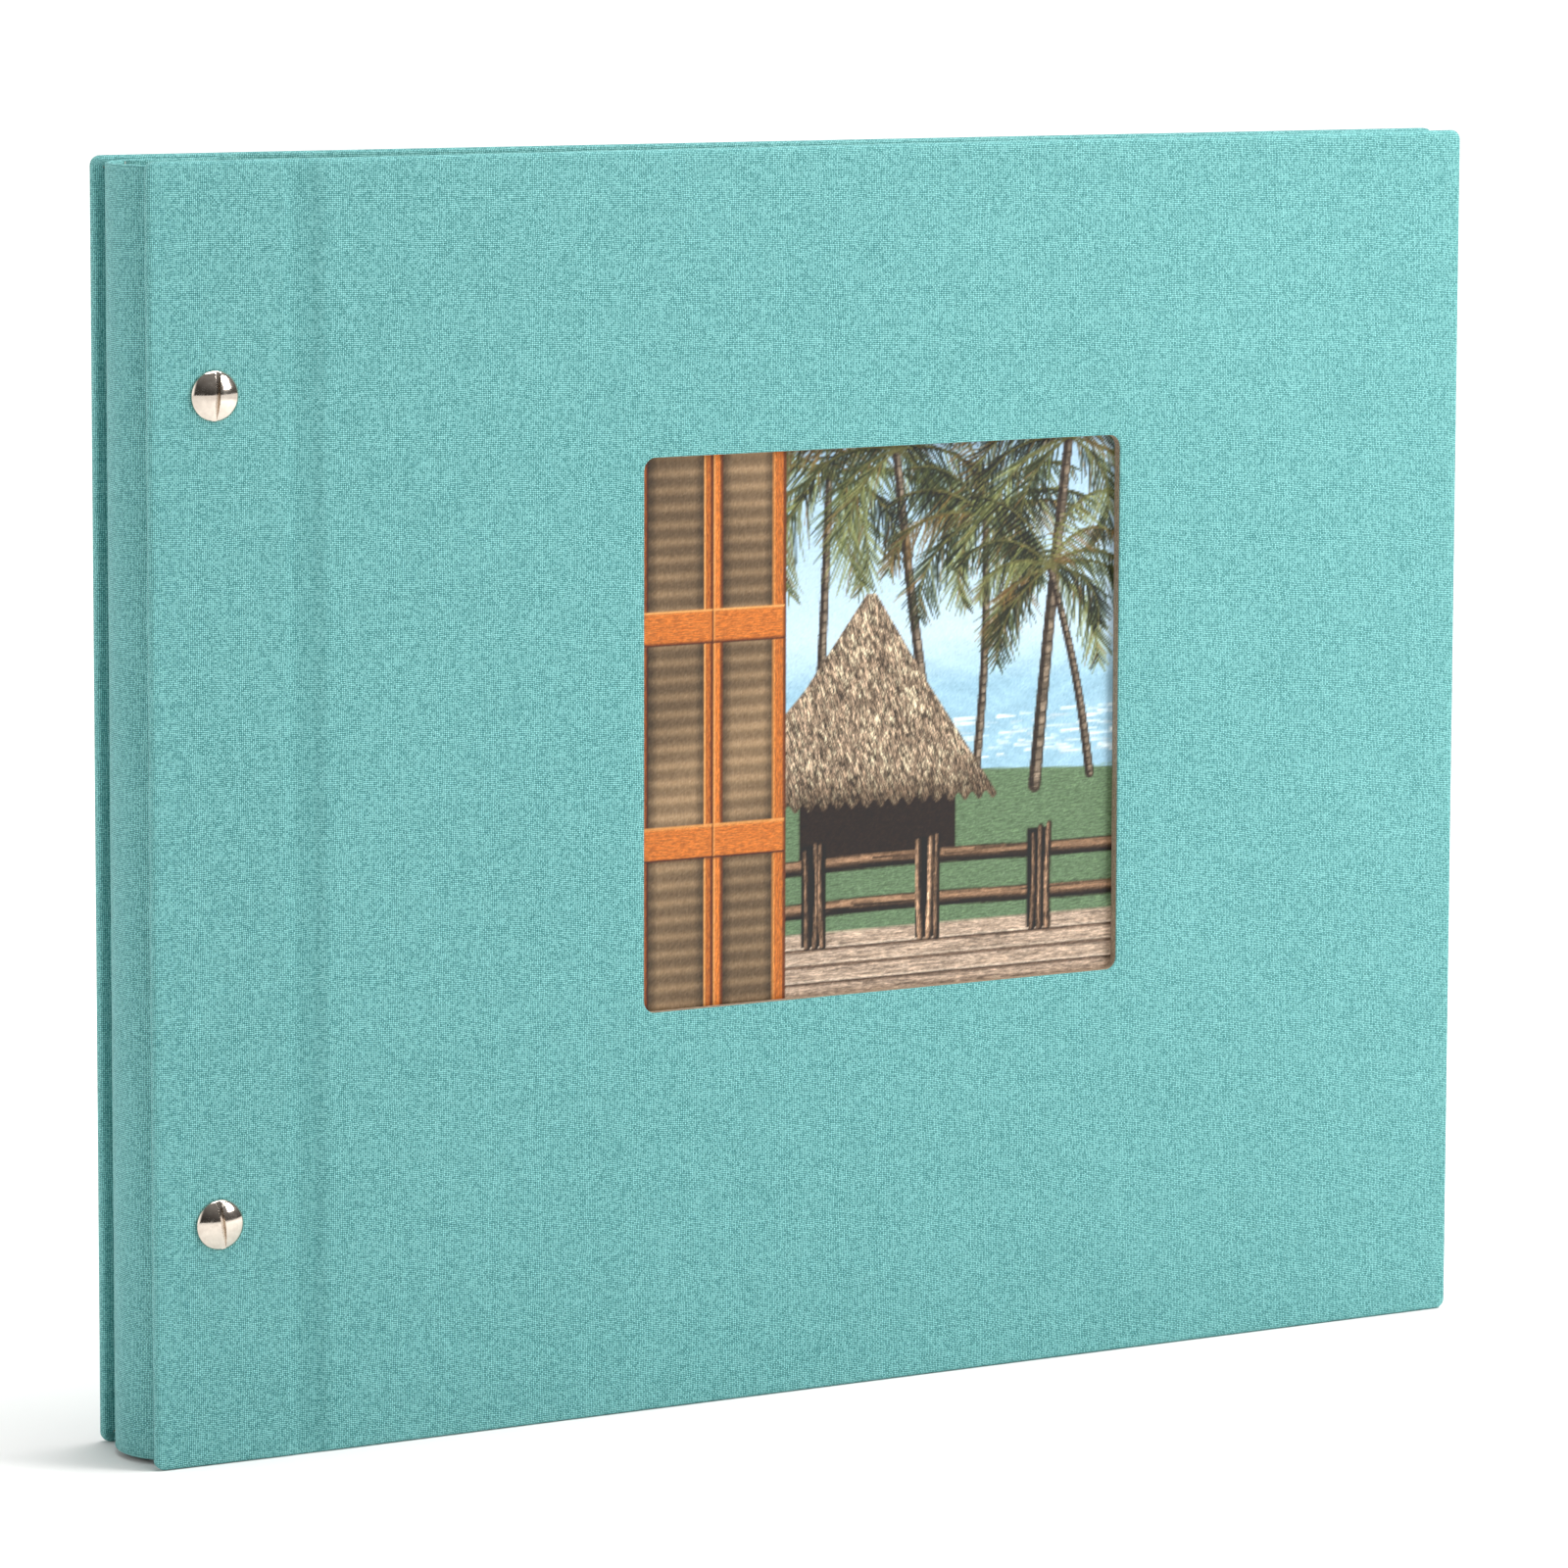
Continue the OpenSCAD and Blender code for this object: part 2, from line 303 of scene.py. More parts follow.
def srgb(red, green, blue):
    """A colour given as it looks on a screen, 0 to 255, as the shader's own linear values."""
    def linear(c):
        c /= 255
        return c / 12.92 if c <= 0.04045 else ((c + 0.055) / 1.055) ** 2.4
    return (linear(red), linear(green), linear(blue), 1.0)


LINEN_DARK, LINEN_MIDDLE, LINEN_LIGHT = (33, 102, 101), (91, 160, 159), (148, 212, 211)
GROOVE_SHADE_SHARE = 0.14       # how much painted shade darkens the cloth in the grooves
THREAD = 0.37           # from one thread of the linen to the next
THREAD_WANDER = 0.8     # how far a thread strays sideways
SLUB_LENGTH = 16.0      # usual length of a thick stretch of thread


def linen_material(name):
    """Plain-weave book linen: round threads over and under each other, some thicker or paler, with painted shade
    in the gaps between the threads and painted light on their crowns.
    """
    shader = Shader(name, Roughness=0.62, Sheen_Weight=0.06, Sheen_Roughness=0.5,
                    Sheen_Tint=(0.7, 0.97, 0.95, 1), Specular_IOR_Level=0.2)
    flat = shader.attribute("cloth")
    stray = shader.vector("SUBTRACT", shader.noise(flat, 0.045, 4.0, 0.7, output=1), (0.5, 0.5, 0.5))
    moved = shader.vector("MULTIPLY_ADD", stray, (THREAD_WANDER * 2,) * 3)
    shader.feed(moved.node.inputs[2], flat)
    u, v, _ = shader.split(moved)
    across = shader.math("DIVIDE", u, THREAD)
    along = shader.math("DIVIDE", v, THREAD)
    warp = shader.math("FLOOR", across)
    weft = shader.math("FLOOR", along)
    over_weft = shader.math("PINGPONG", shader.math("ADD", warp, weft), 1.0)
    warp_round = shader.math("SINE", shader.math("MULTIPLY", shader.math("FRACT", across), math.pi))
    weft_round = shader.math("SINE", shader.math("MULTIPLY", shader.math("FRACT", along), math.pi))
    over = shader.blend(over_weft, warp_round, weft_round)
    under = shader.blend(over_weft, weft_round, warp_round)
    crown = shader.math("MULTIPLY", over, shader.math("MULTIPLY_ADD", under, 0.45, 0.55))
    # every thread changes slowly in thickness and shade along its own length
    warp_slub = shader.noise(shader.join(shader.math("MULTIPLY", warp, 7.31),
                                         shader.math("DIVIDE", v, SLUB_LENGTH), 1.5), 1.0, 2.0, 0.6)
    weft_slub = shader.noise(shader.join(shader.math("DIVIDE", u, SLUB_LENGTH),
                                         shader.math("MULTIPLY", weft, 7.31), 8.5), 1.0, 2.0, 0.6)
    slub = shader.blend(over_weft, warp_slub, weft_slub)
    thick = shader.level(slub, 0.66, 0.76)
    crossing = shader.add("ShaderNodeTexWhiteNoise", {"Vector": shader.join(warp, weft)},
                          noise_dimensions="3D").outputs["Value"]
    # painted shade and light: each thread's crown is painted lighter and the gaps between threads darker
    shade = shader.math("MULTIPLY_ADD", crown, 1.5, -0.25)
    shade = shader.math("MULTIPLY_ADD", crossing, 0.58, shade)
    shade = shader.math("MULTIPLY_ADD", over_weft, -0.16, shade)
    shade = shader.math("MULTIPLY_ADD", slub, 0.30, shade)
    shade = shader.math("MULTIPLY_ADD", thick, 0.14, shade)
    shade = shader.math("MULTIPLY_ADD", shader.noise(flat, 0.03, 3.0), 0.08, shade)
    shade = shader.math("SUBTRACT", shade, 0.46, clamp=True)
    colour = shader.ramp(shade, (0.0, srgb(*LINEN_DARK)), (0.5, srgb(*LINEN_MIDDLE)),
                         (1.0, srgb(*LINEN_LIGHT)))
    rub = shader.math("MULTIPLY", shader.attribute("rub", "Fac"),
                      shader.level(shader.noise(flat, 0.8, 3.0), 0.25, 0.75, 0.35, 1.0))
    colour = shader.mix(shader.math("MULTIPLY", rub, 0.14), colour, srgb(132, 200, 198))
    # painted shade: where the attribute is below 0, in the groove, the cloth is darkened towards LINEN_DARK
    groove_shade = shader.math("MULTIPLY", shader.attribute("rub", "Fac"), -GROOVE_SHADE_SHARE, clamp=True)
    colour = shader.mix(groove_shade, colour, srgb(*LINEN_DARK))
    relief = shader.math("MULTIPLY_ADD", slub, 0.4, crown)
    return shader.done(Base_Color=colour, Normal=shader.bump(relief, 0.07 * MM, 0.8))


def board_material():
    """Grey board: pressed brown-grey fibre, with layers and specks that show where it is cut."""
    shader = Shader("greyboard", Roughness=0.95, Specular_IOR_Level=0.15)
    place = shader.place_mm()
    layers = shader.noise(shader.vector("MULTIPLY", place, (0.6, 5.0, 0.6)), 1.0, 3.0, 0.6)
    specks = shader.noise(place, 2.6, 4.0, 0.7)
    grain = shader.math("MULTIPLY_ADD", specks, 0.5, shader.math("MULTIPLY", layers, 0.5))
    colour = shader.ramp(grain, (0.3, srgb(104, 88, 72)), (0.5, srgb(150, 132, 112)),
                         (0.72, srgb(196, 182, 160)))
    return shader.done(Base_Color=colour, Normal=shader.bump(grain, 0.12 * MM, 0.8))


def paper_material(name, light, dark, tooth=0.03, lay=0.0):
    """Uncoated paper or card: faint clouds of fibre and a fine tooth, with laid lines if asked."""
    shader = Shader(name, Roughness=0.88, Specular_IOR_Level=0.25)
    place = shader.place_mm()
    clouds = shader.noise(place, 0.12, 4.0, 0.6)
    fibres = shader.noise(shader.vector("MULTIPLY", place, (2.0, 2.0, 0.5)), 1.6, 3.0, 0.65)
    tone = shader.math("MULTIPLY_ADD", fibres, 0.35, shader.math("MULTIPLY", clouds, 0.65))
    relief = shader.math("MULTIPLY_ADD", fibres, 0.7, 0.0)
    if lay:
        _, _, z = shader.split(place)
        ribs = shader.math("SINE", shader.math("MULTIPLY", z, 2 * math.pi / lay))
        relief = shader.math("MULTIPLY_ADD", ribs, 0.25, relief)
        tone = shader.math("MULTIPLY_ADD", ribs, 0.03, tone)
    colour = shader.ramp(tone, (0.32, dark), (0.62, light))
    return shader.done(Base_Color=colour, Normal=shader.bump(relief, tooth * MM, 0.7))


def guard_material():
    """The doubled margins: card seen edge on, in layers across the thickness."""
    shader = Shader("guard_card", Roughness=0.9, Specular_IOR_Level=0.2)
    place = shader.place_mm()
    _, y, _ = shader.split(place)
    layer = shader.math("SINE", shader.math("MULTIPLY", y, 2 * math.pi / 0.28))
    fibres = shader.noise(shader.vector("MULTIPLY", place, (0.7, 3.0, 0.7)), 1.4, 3.0, 0.6)
    tone = shader.math("MULTIPLY_ADD", layer, 0.16, fibres)
    colour = shader.ramp(tone, (0.3, srgb(206, 200, 186)), (0.6, srgb(240, 236, 226)))
    return shader.done(Base_Color=colour, Normal=shader.bump(tone, 0.04 * MM, 0.6))


def glassine_material():
    """Glassine: smooth translucent paper with a crackled emboss."""
    shader = Shader("glassine", Roughness=0.32, Specular_IOR_Level=0.5, Transmission_Weight=0.25,
                    Alpha=0.62)
    place = shader.place_mm()
    bent = shader.vector("ADD", place, shader.noise(place, 0.25, 2.0, output=1))
    web = shader.add("ShaderNodeTexVoronoi", {"Vector": bent, "Scale": 0.16},
                     feature="DISTANCE_TO_EDGE").outputs["Distance"]
    veins = shader.level(web, 0.0, 0.07, 1.0, 0.0)
    colour = shader.mix(veins, srgb(236, 236, 228), srgb(250, 250, 246))
    return shader.done(Base_Color=colour, Normal=shader.bump(veins, 0.03 * MM, 0.8))


def nickel_material():
    """Nickel plate, polished, with faint turning marks and fine scratches."""
    shader = Shader("nickel", Metallic=1.0)
    place = shader.place_mm()
    haze = shader.noise(place, 0.9, 4.0, 0.6)
    fine = shader.noise(shader.vector("MULTIPLY", place, (9.0, 9.0, 1.2)), 1.0, 2.0)
    colour = shader.ramp(haze, (0.3, srgb(200, 188, 176)), (0.7, srgb(218, 208, 196)))
    rough = shader.level(haze, 0.25, 0.75, 0.06, 0.16)
    return shader.done(Base_Color=colour, Roughness=rough,
                       Normal=shader.bump(fine, 0.004 * MM, 0.5))


def print_material():
    """A photographic print: its painted colours, with the fine grain of what they show, under a
    thin semi-gloss coat."""
    shader = Shader("photo_print", Roughness=0.5, Specular_IOR_Level=0.3, Coat_Weight=0.12,
                    Coat_Roughness=0.2)
    place = shader.place_mm()
    x, _, z = shader.split(place)
    dx, dz, amount = shader.split(shader.attribute("streak"))
    along = shader.math("MULTIPLY_ADD", z, dz, shader.math("MULTIPLY", x, dx))
    across = shader.math("SUBTRACT", shader.math("MULTIPLY", z, dx), shader.math("MULTIPLY", x, dz))
    strands = shader.noise(shader.join(shader.math("MULTIPLY", along, 0.55),
                                       shader.math("MULTIPLY", across, 2.6)), 1.0, 2.0, 0.7)
    swing = shader.math("MULTIPLY", shader.level(strands, 0.3, 0.7, -0.9, 0.9), amount)
    colour = shader.vector("SCALE", shader.attribute("paint", "Color"))
    shader.feed(colour.node.inputs["Scale"], shader.math("ADD", swing, 1.0))
    pebble = shader.noise(place, 3.0, 2.0)
    return shader.done(Base_Color=colour, Normal=shader.bump(pebble, 0.008 * MM, 0.5))


linen = linen_material("turquoise_linen")
greyboard = board_material()
lining_paper = paper_material("lining_paper", srgb(240, 237, 228), srgb(226, 222, 211), lay=1.1)
page_card = paper_material("page_card", srgb(246, 243, 235), srgb(234, 230, 220), tooth=0.05)
filler_card = paper_material("filler_card", srgb(228, 224, 214), srgb(206, 201, 190))
guard_card = guard_material()
glassine = glassine_material()
nickel = nickel_material()
print_paper = print_material()


# ---------------------------------------------------------------- covers
def face_rings():
    """(inset from the outline, share of the way to the inner face) round the covered edge."""
    rings = []
    for k in range(1, 6):
        a = math.pi / 2 * k / 5
        rings.append((EDGE_ROUND * (1 - math.sin(a)), EDGE_ROUND * (1 - math.cos(a)) / INNER_DEPTH))
    for k in range(1, 6):
        a = math.pi / 2 * k / 5
        inset = EDGE_ROUND * (1 - math.cos(a))
        rings.append((inset, 1 - EDGE_ROUND * (1 - math.sin(a)) / INNER_DEPTH))
    rings.append((CORNER_R, 1.0))
    return rings


def cover_linen(name, side, window):
    """One piece of linen over strip, groove and panel, rounded over the edges and turned in."""
    sheet = Sheet()
    start, corner = EDGE_ROUND, CORNER_R
    lip_left, lip_right = window_left - WINDOW_LIP, window_right + WINDOW_LIP
    lip_low, lip_high = window_low - WINDOW_LIP, window_high + WINDOW_LIP
    lip_r = WINDOW_R + WINDOW_LIP
    step = 3.0
    s_lines = lines((start, corner - start), (corner, step), (hinge_s - 6.5, 0.5),
                    (hinge_s + 6.5, step), (lip_left, lip_r), (lip_left + lip_r, step),
                    (lip_right - lip_r, lip_r), (lip_right, step),
                    (cover_w - corner, corner - start), (cover_w - start, 0))
    z_lines = lines((start, corner - start), (corner, 1.0), (8.0, step), (lip_low, lip_r),
                    (lip_low + lip_r, step), (lip_high - lip_r, lip_r), (lip_high, step),
                    (cover_h - 8.0, 1.0), (cover_h - corner, corner - start), (cover_h - start, 0))
    last_i, last_j = len(s_lines) - 1, len(z_lines) - 1
    made = {}

    def face_point(s, z):
        # the edges are rubbed lighter; the groove gets painted shade, as values below 0
        rub = 0.55 * smooth(1 - (min(s, z, cover_w - s, cover_h - z) - start) / 1.6) - groove(s)
        return sheet.add(cover_point(side, s, outer_depth(s, z), z), (s, z), rub)

    def vertex(i, j):
        if (i, j) not in made:
            made[i, j] = face_point(s_lines[i], z_lines[j])
        return made[i, j]

    hole = None
    if window:
        hole = (s_lines.index(lip_left), s_lines.index(lip_right),
                z_lines.index(lip_low), z_lines.index(lip_high))
    for i in range(last_i):
        for j in range(last_j):
            at_corner = i in (0, last_i - 1) and j in (0, last_j - 1)
            in_hole = hole and hole[0] <= i < hole[1] and hole[2] <= j < hole[3]
            if not at_corner and not in_hole:
                sheet.faces.append((vertex(i, j), vertex(i + 1, j), vertex(i + 1, j + 1),
                                    vertex(i, j + 1)))

    def corner_arc(cs, cz, radius, first, hub, start_vertex, end_vertex):
        """Fan from hub over an arc of 90 degrees about (cs, cz); gives its inner points."""
        found = []
        for k in range(1, 6):
            a = math.radians(first + 15 * k)
            normal = (math.cos(a), math.sin(a))
            s, z = cs + radius * normal[0], cz + radius * normal[1]
            found.append((face_point(s, z), s, z, normal))
        chain = [start_vertex] + [f[0] for f in found] + [end_vertex]
        for a, b in zip(chain, chain[1:]):
            sheet.faces.append((hub, a, b))
        return found

    # the outer boundary, anticlockwise from the lower left, as (index, s, z, outward normal)
    r = corner - start
    loop = [(vertex(i, 0), s_lines[i], start, (0, -1)) for i in range(1, last_i)]
    loop += corner_arc(cover_w - corner, corner, r, -90, vertex(last_i - 1, 1),
                       vertex(last_i - 1, 0), vertex(last_i, 1))
    loop += [(vertex(last_i, j), cover_w - start, z_lines[j], (1, 0)) for j in range(1, last_j)]
    loop += corner_arc(cover_w - corner, cover_h - corner, r, 0, vertex(last_i - 1, last_j - 1),
                       vertex(last_i, last_j - 1), vertex(last_i - 1, last_j))
    loop += [(vertex(i, last_j), s_lines[i], cover_h - start, (0, 1))
             for i in range(last_i - 1, 0, -1)]
    loop += corner_arc(corner, cover_h - corner, r, 90, vertex(1, last_j - 1),
                       vertex(1, last_j), vertex(0, last_j - 1))
    loop += [(vertex(0, j), start, z_lines[j], (-1, 0)) for j in range(last_j - 1, 0, -1)]
    loop += corner_arc(corner, corner, r, 180, vertex(1, 1), vertex(0, 1), vertex(1, 0))

    # round the edge
    row = [entry[0] for entry in loop]
    length = 0.0
    before = (start, 0.0)
    for inset, share in face_rings():
        length += math.hypot(inset - before[0], (share - before[1]) * INNER_DEPTH)
        before = (inset, share)
        ring = []
        for _, s, z, (ns, nz) in loop:
            at_s, at_z = s + ns * (start - inset), z + nz * (start - inset)
            depth = outer_depth(s, z) * (1 - share) + inner_depth(s) * share
            rub = 1.0 - abs(share - 0.3) if share < 0.95 else 0.1
            ring.append(sheet.add(cover_point(side, at_s, depth, at_z),
                                  (s + ns * length, z + nz * length), max(rub, 0.0)))
        sheet.strip(row, ring, closed=True)
        row = ring

    # four turned-in flaps, cut to meet at mitres with a hair's gap
    gap = 0.12
    for normal in ((0, -1), (1, 0), (0, 1), (-1, 0)):
        flap = [(k, s, z) for k, (_, s, z, n) in enumerate(loop) if n == normal]
        rows = []
        for inset in [CORNER_R] + ticks(CORNER_R + 1, TURN_IN, 4.0) + [TURN_IN]:
            line = []
            for k, s, z in flap:
                low, side_s, side_z = inset + gap, cover_w - inset - gap, cover_h - inset - gap
                if normal[0] == 0:
                    at = (min(max(s, low), side_s), inset if normal[1] < 0 else cover_h - inset)
                else:
                    at = (inset if normal[0] < 0 else cover_w - inset, min(max(z, low), side_z))
                flat = (at[0] + normal[0] * 2 * inset, at[1] + normal[1] * 2 * inset)
                depth = inner_depth(at[0]) + 0.02
                line.append(sheet.add(cover_point(side, at[0], depth, at[1]), flat, 0.05))
            rows.append(line)
        for a, b in zip(rows, rows[1:]):
            sheet.strip(a, b)

    if window:
        i0, i1, j0, j1 = hole
        rim = [(vertex(i, j0), s_lines[i], lip_low, (0, 1)) for i in range(i0 + 1, i1)]
        rim += hole_corner(corner_arc, lip_right - lip_r, lip_low + lip_r, lip_r, -90,
                           vertex(i1, j0), vertex(i1 - 1, j0), vertex(i1, j0 + 1))
        rim += [(vertex(i1, j), lip_right, z_lines[j], (-1, 0)) for j in range(j0 + 1, j1)]
        rim += hole_corner(corner_arc, lip_right - lip_r, lip_high - lip_r, lip_r, 0,
                           vertex(i1, j1), vertex(i1, j1 - 1), vertex(i1 - 1, j1))
        rim += [(vertex(i, j1), s_lines[i], lip_high, (0, -1)) for i in range(i1 - 1, i0, -1)]
        rim += hole_corner(corner_arc, lip_left + lip_r, lip_high - lip_r, lip_r, 90,
                           vertex(i0, j1), vertex(i0 + 1, j1), vertex(i0, j1 - 1))
        rim += [(vertex(i0, j), lip_left, z_lines[j], (1, 0)) for j in range(j1 - 1, j0, -1)]
        rim += hole_corner(corner_arc, lip_left + lip_r, lip_low + lip_r, lip_r, 180,
                           vertex(i0, j0), vertex(i0, j0 + 1), vertex(i0 + 1, j0))
        row = [entry[0] for entry in rim]
        for k in range(1, 6):
            a = math.pi / 2 * min(k, 4) / 4
            out, down = WINDOW_LIP * math.sin(a), WINDOW_LIP * (1 - math.cos(a))
            if k == 5:
                down = LINEN_T + 0.05
            ring = [sheet.add(cover_point(side, s + ns * out, down, z + nz * out),
                              (s + ns * (out + down), z + nz * (out + down)), 0.5)
                    for _, s, z, (ns, nz) in rim]
            sheet.strip(row, ring, closed=True)
            row = ring
    return sheet.build(name, linen)


def hole_corner(corner_arc, cs, cz, radius, first, hub, start_vertex, end_vertex):
    """As a corner of the outline, but its normals point into the hole."""
    found = corner_arc(cs, cz, radius, first, hub, start_vertex, end_vertex)
    return [(index, s, z, (-n[0], -n[1])) for index, s, z, n in found]


front_linen = cover_linen("front_cover_linen", -1, window=True)
back_linen = cover_linen("back_cover_linen", 1, window=False)
for piece, side, label in ((front_linen, -1, "front"), (back_linen, 1, "back")):
    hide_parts(f"{label}_cover_cloth", f"{label}_hinge_cloth", f"{label}_joint_cloth")
    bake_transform(piece)


def inner_joint(name, side):
    """The strip of linen inside the groove, under the spine's flap and the cover's lining."""
    sheet = Sheet()
    first, last, margin = 12.0, 46.0, 3.0
    rows = []
    for s in lines((first, 4.0), (hinge_s - 6, 0.5), (hinge_s + 6, 4.0), (last, 0)):
        depth = inner_depth(s) + 0.06
        rows.append([sheet.add(cover_point(side, s, depth, z), (s, z + 31), 0.05)
                     for z in lines((margin, 3.0), (cover_h - margin, 0))])
    for a, b in zip(rows, rows[1:]):
        sheet.strip(a, b)
    piece = sheet.build(name, linen)
    return piece


for side, label in ((-1, "front"), (1, "back")):
    piece = inner_joint(f"{label}_inner_joint_linen", side)
    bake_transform(piece)


def rounded_outline(left, right, low, high, radius, step):
    """Points and inward normals round a rectangle with round corners, about step apart."""
    found = []
    corners = [(right - radius, low + radius, -90), (right - radius, high - radius, 0),
               (left + radius, high - radius, 90), (left + radius, low + radius, 180)]
    for k, (cs, cz, first) in enumerate(corners):
        for a in ticks(first, first + 90, 90 * step / (radius * math.pi / 2)):
            n = (math.cos(math.radians(a)), math.sin(math.radians(a)))
            found.append((cs + radius * n[0], cz + radius * n[1], (-n[0], -n[1])))
        end = math.radians(first + 90)
        n = (math.cos(end), math.sin(end))
        here = (cs + radius * n[0], cz + radius * n[1])
        ns, nz, nfirst = corners[(k + 1) % 4]
        m = (math.cos(math.radians(nfirst)), math.sin(math.radians(nfirst)))
        there = (ns + radius * m[0], nz + radius * m[1])
        length = math.dist(here, there)
        for t in ticks(0, 1, step / length):
            found.append((here[0] + (there[0] - here[0]) * t, here[1] + (there[1] - here[1]) * t,
                          (-n[0], -n[1])))
    return found


def window_edge():
    """The raw cut edge of the board round the window, with loose fibre."""
    sheet = Sheet()
    outline = rounded_outline(window_left, window_right, window_low, window_high, WINDOW_R, 0.4)
    rows = []
    depths = ticks(LINEN_T, LINEN_T + BOARD_T, 0.22) + [LINEN_T + BOARD_T]
    for k, depth in enumerate(depths):
        row = []
        for s, z, (ns, nz) in outline:
            fuzz = noise.noise(Vector((s * 1.7, depth * 3.5, z * 1.7)))
            out = 0.06 + 0.035 * fuzz if 0 < k < len(depths) - 1 else 0.01
            row.append(sheet.add(cover_point(-1, s + ns * out, depth, z + nz * out), (s, z)))
        rows.append(row)
    for a, b in zip(rows, rows[1:]):
        sheet.strip(a, b, closed=True)
    return sheet.build("window_board_edge", greyboard)


edge = window_edge()
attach(edge, "front_cover")


# ---------------------------------------------------------------- the picture
class Canvas:
    """A picture painted by rule: x runs 0 to 1 from the left, y from the bottom. streak keeps the
    direction and strength of the fine grain that the print's material adds."""

    def __init__(self, width, height):
        ys, xs = np.mgrid[0:height, 0:width]
        self.x, self.y = xs / (width - 1), ys / (height - 1)
        self.width, self.height = width, height
        self.colour = np.zeros((height, width, 3))
        self.streak = np.zeros((height, width, 3))
        self.pixel = 1 / width
        self.random = random.Random(7)

    def paint(self, mask, colour):
        mask = np.clip(mask, 0, 1)[..., None]
        self.colour = self.colour * (1 - mask) + np.asarray(colour, float) * mask

    def grain(self, mask, degrees, amount):
        """Fine streaks along a direction, over the mask."""
        a = math.radians(degrees)
        mask = np.clip(mask, 0, 1)[..., None]
        self.streak = self.streak * (1 - mask) + np.array((math.cos(a), math.sin(a), amount)) * mask

    def edge(self, distance, soft=1.0):
        """1 where distance is positive, with a soft edge."""
        return np.clip(distance / (self.pixel * soft) + 0.5, 0, 1)

    def below(self, *points):
        """1 under the line through the points."""
        px, py = zip(*points)
        return self.edge(np.interp(self.x, px, py) - self.y)

    def between(self, left, right):
        return self.edge(self.x - left) * self.edge(right - self.x)

    def stroke(self, x0, y0, x1, y1, w0, w1, colour, strength=1.0):
        """A tapering line; only the small box round it is touched."""
        reach = max(w0, w1) + 2 * self.pixel
        i0 = max(int((min(x0, x1) - reach) * self.width), 0)
        i1 = min(int((max(x0, x1) + reach) * self.width) + 2, self.width)
        j0 = max(int((min(y0, y1) - reach) * self.height), 0)
        j1 = min(int((max(y0, y1) + reach) * self.height) + 2, self.height)
        if i0 >= i1 or j0 >= j1:
            return
        x, y = self.x[j0:j1, i0:i1], self.y[j0:j1, i0:i1]
        dx, dy = x1 - x0, y1 - y0
        t = np.clip(((x - x0) * dx + (y - y0) * dy) / max(dx * dx + dy * dy, 1e-12), 0, 1)
        away = np.hypot(x - x0 - t * dx, y - y0 - t * dy)
        mask = np.clip((w0 + (w1 - w0) * t - away) / self.pixel + 0.5, 0, 1)[..., None] * strength
        area = self.colour[j0:j1, i0:i1]
        self.colour[j0:j1, i0:i1] = area * (1 - mask) + np.asarray(colour, float) * mask

    def curve(self, points, w0, w1, colour, vary=0.0, strength=1.0):
        """A bent tapering line through many points."""
        count = len(points) - 1
        for k in range(count):
            a, b = k / count, (k + 1) / count
            tone = 1 + vary * (self.random.random() - 0.5)
            self.stroke(*points[k], *points[k + 1], w0 + (w1 - w0) * a, w0 + (w1 - w0) * b,
                        shaded(colour, tone), strength)


def shaded(colour, tone):
    """The colour made lighter or darker."""
    return [min(c * tone, 245) for c in colour]


def frond(canvas, crown, angle, length, droop):
    """A palm frond: a bending rib with leaflets that hang from both of its sides."""
    rnd = canvas.random
    count = 22
    x, y = crown
    rib = [crown]
    outward = 1 if math.cos(angle) >= 0 else -1
    for k in range(count):
        a = angle - outward * droop * (k / count) ** 1.3
        x, y = x + math.cos(a) * length / count, y + math.sin(a) * length / count
        rib.append((x, y))
    tones = ((30, 35, 24), (52, 58, 38), (84, 90, 58), (128, 132, 92), (120, 98, 66))
    leaf = rnd.choice(tones)
    for k in range(2, count + 1):
        x, y = rib[k]
        run = math.atan2(y - rib[k - 1][1], x - rib[k - 1][0])
        size = length * (0.12 + 0.26 * math.sin(math.pi * (k / count) ** 0.8))
        for turn in (-1, 1):
            for _ in range(2):
                a = run + turn * rnd.uniform(0.5, 1.0)
                reach = size * rnd.uniform(0.6, 1.1)
                dx = math.cos(a) * reach * 0.8
                dy = math.sin(a) * reach * 0.55 - reach * 0.5
                tone = leaf if rnd.random() < 0.6 else rnd.choice(tones)
                colour = shaded(tone, rnd.uniform(0.75, 1.25))
                canvas.stroke(x, y, x + dx, y + dy, 0.0016, 0.0004, colour, 0.9)
    canvas.curve(rib, 0.0024, 0.0008, (112, 110, 76), vary=0.2)


def palm(canvas, foot, crown, girth, spread, fronds):
    """A leaning trunk with rings, under a head of fronds."""
    rnd = canvas.random
    bow = rnd.uniform(-0.012, 0.012)
    trunk = [(foot[0] + (crown[0] - foot[0]) * t + bow * math.sin(math.pi * t),
              foot[1] + (crown[1] - foot[1]) * t) for t in np.linspace(0, 1, 60)]
    canvas.curve(trunk, girth, girth * 0.7, (74, 64, 56), vary=0.3)
    lit = [(x + girth * 0.3, y) for x, y in trunk]
    canvas.curve(lit, girth * 0.45, girth * 0.3, (134, 122, 108), vary=0.45)
    for x, y in trunk[::2]:
        canvas.stroke(x - girth * 0.8, y, x + girth * 0.7, y + 0.004, 0.0014, 0.001, (50, 42, 36), 0.7)
    for k in range(fronds):
        angle = math.radians(-35 + 250 * (k + rnd.uniform(-0.3, 0.3)) / (fronds - 1))
        frond(canvas, crown, angle, spread * rnd.uniform(0.75, 1.05), rnd.uniform(0.9, 1.9))


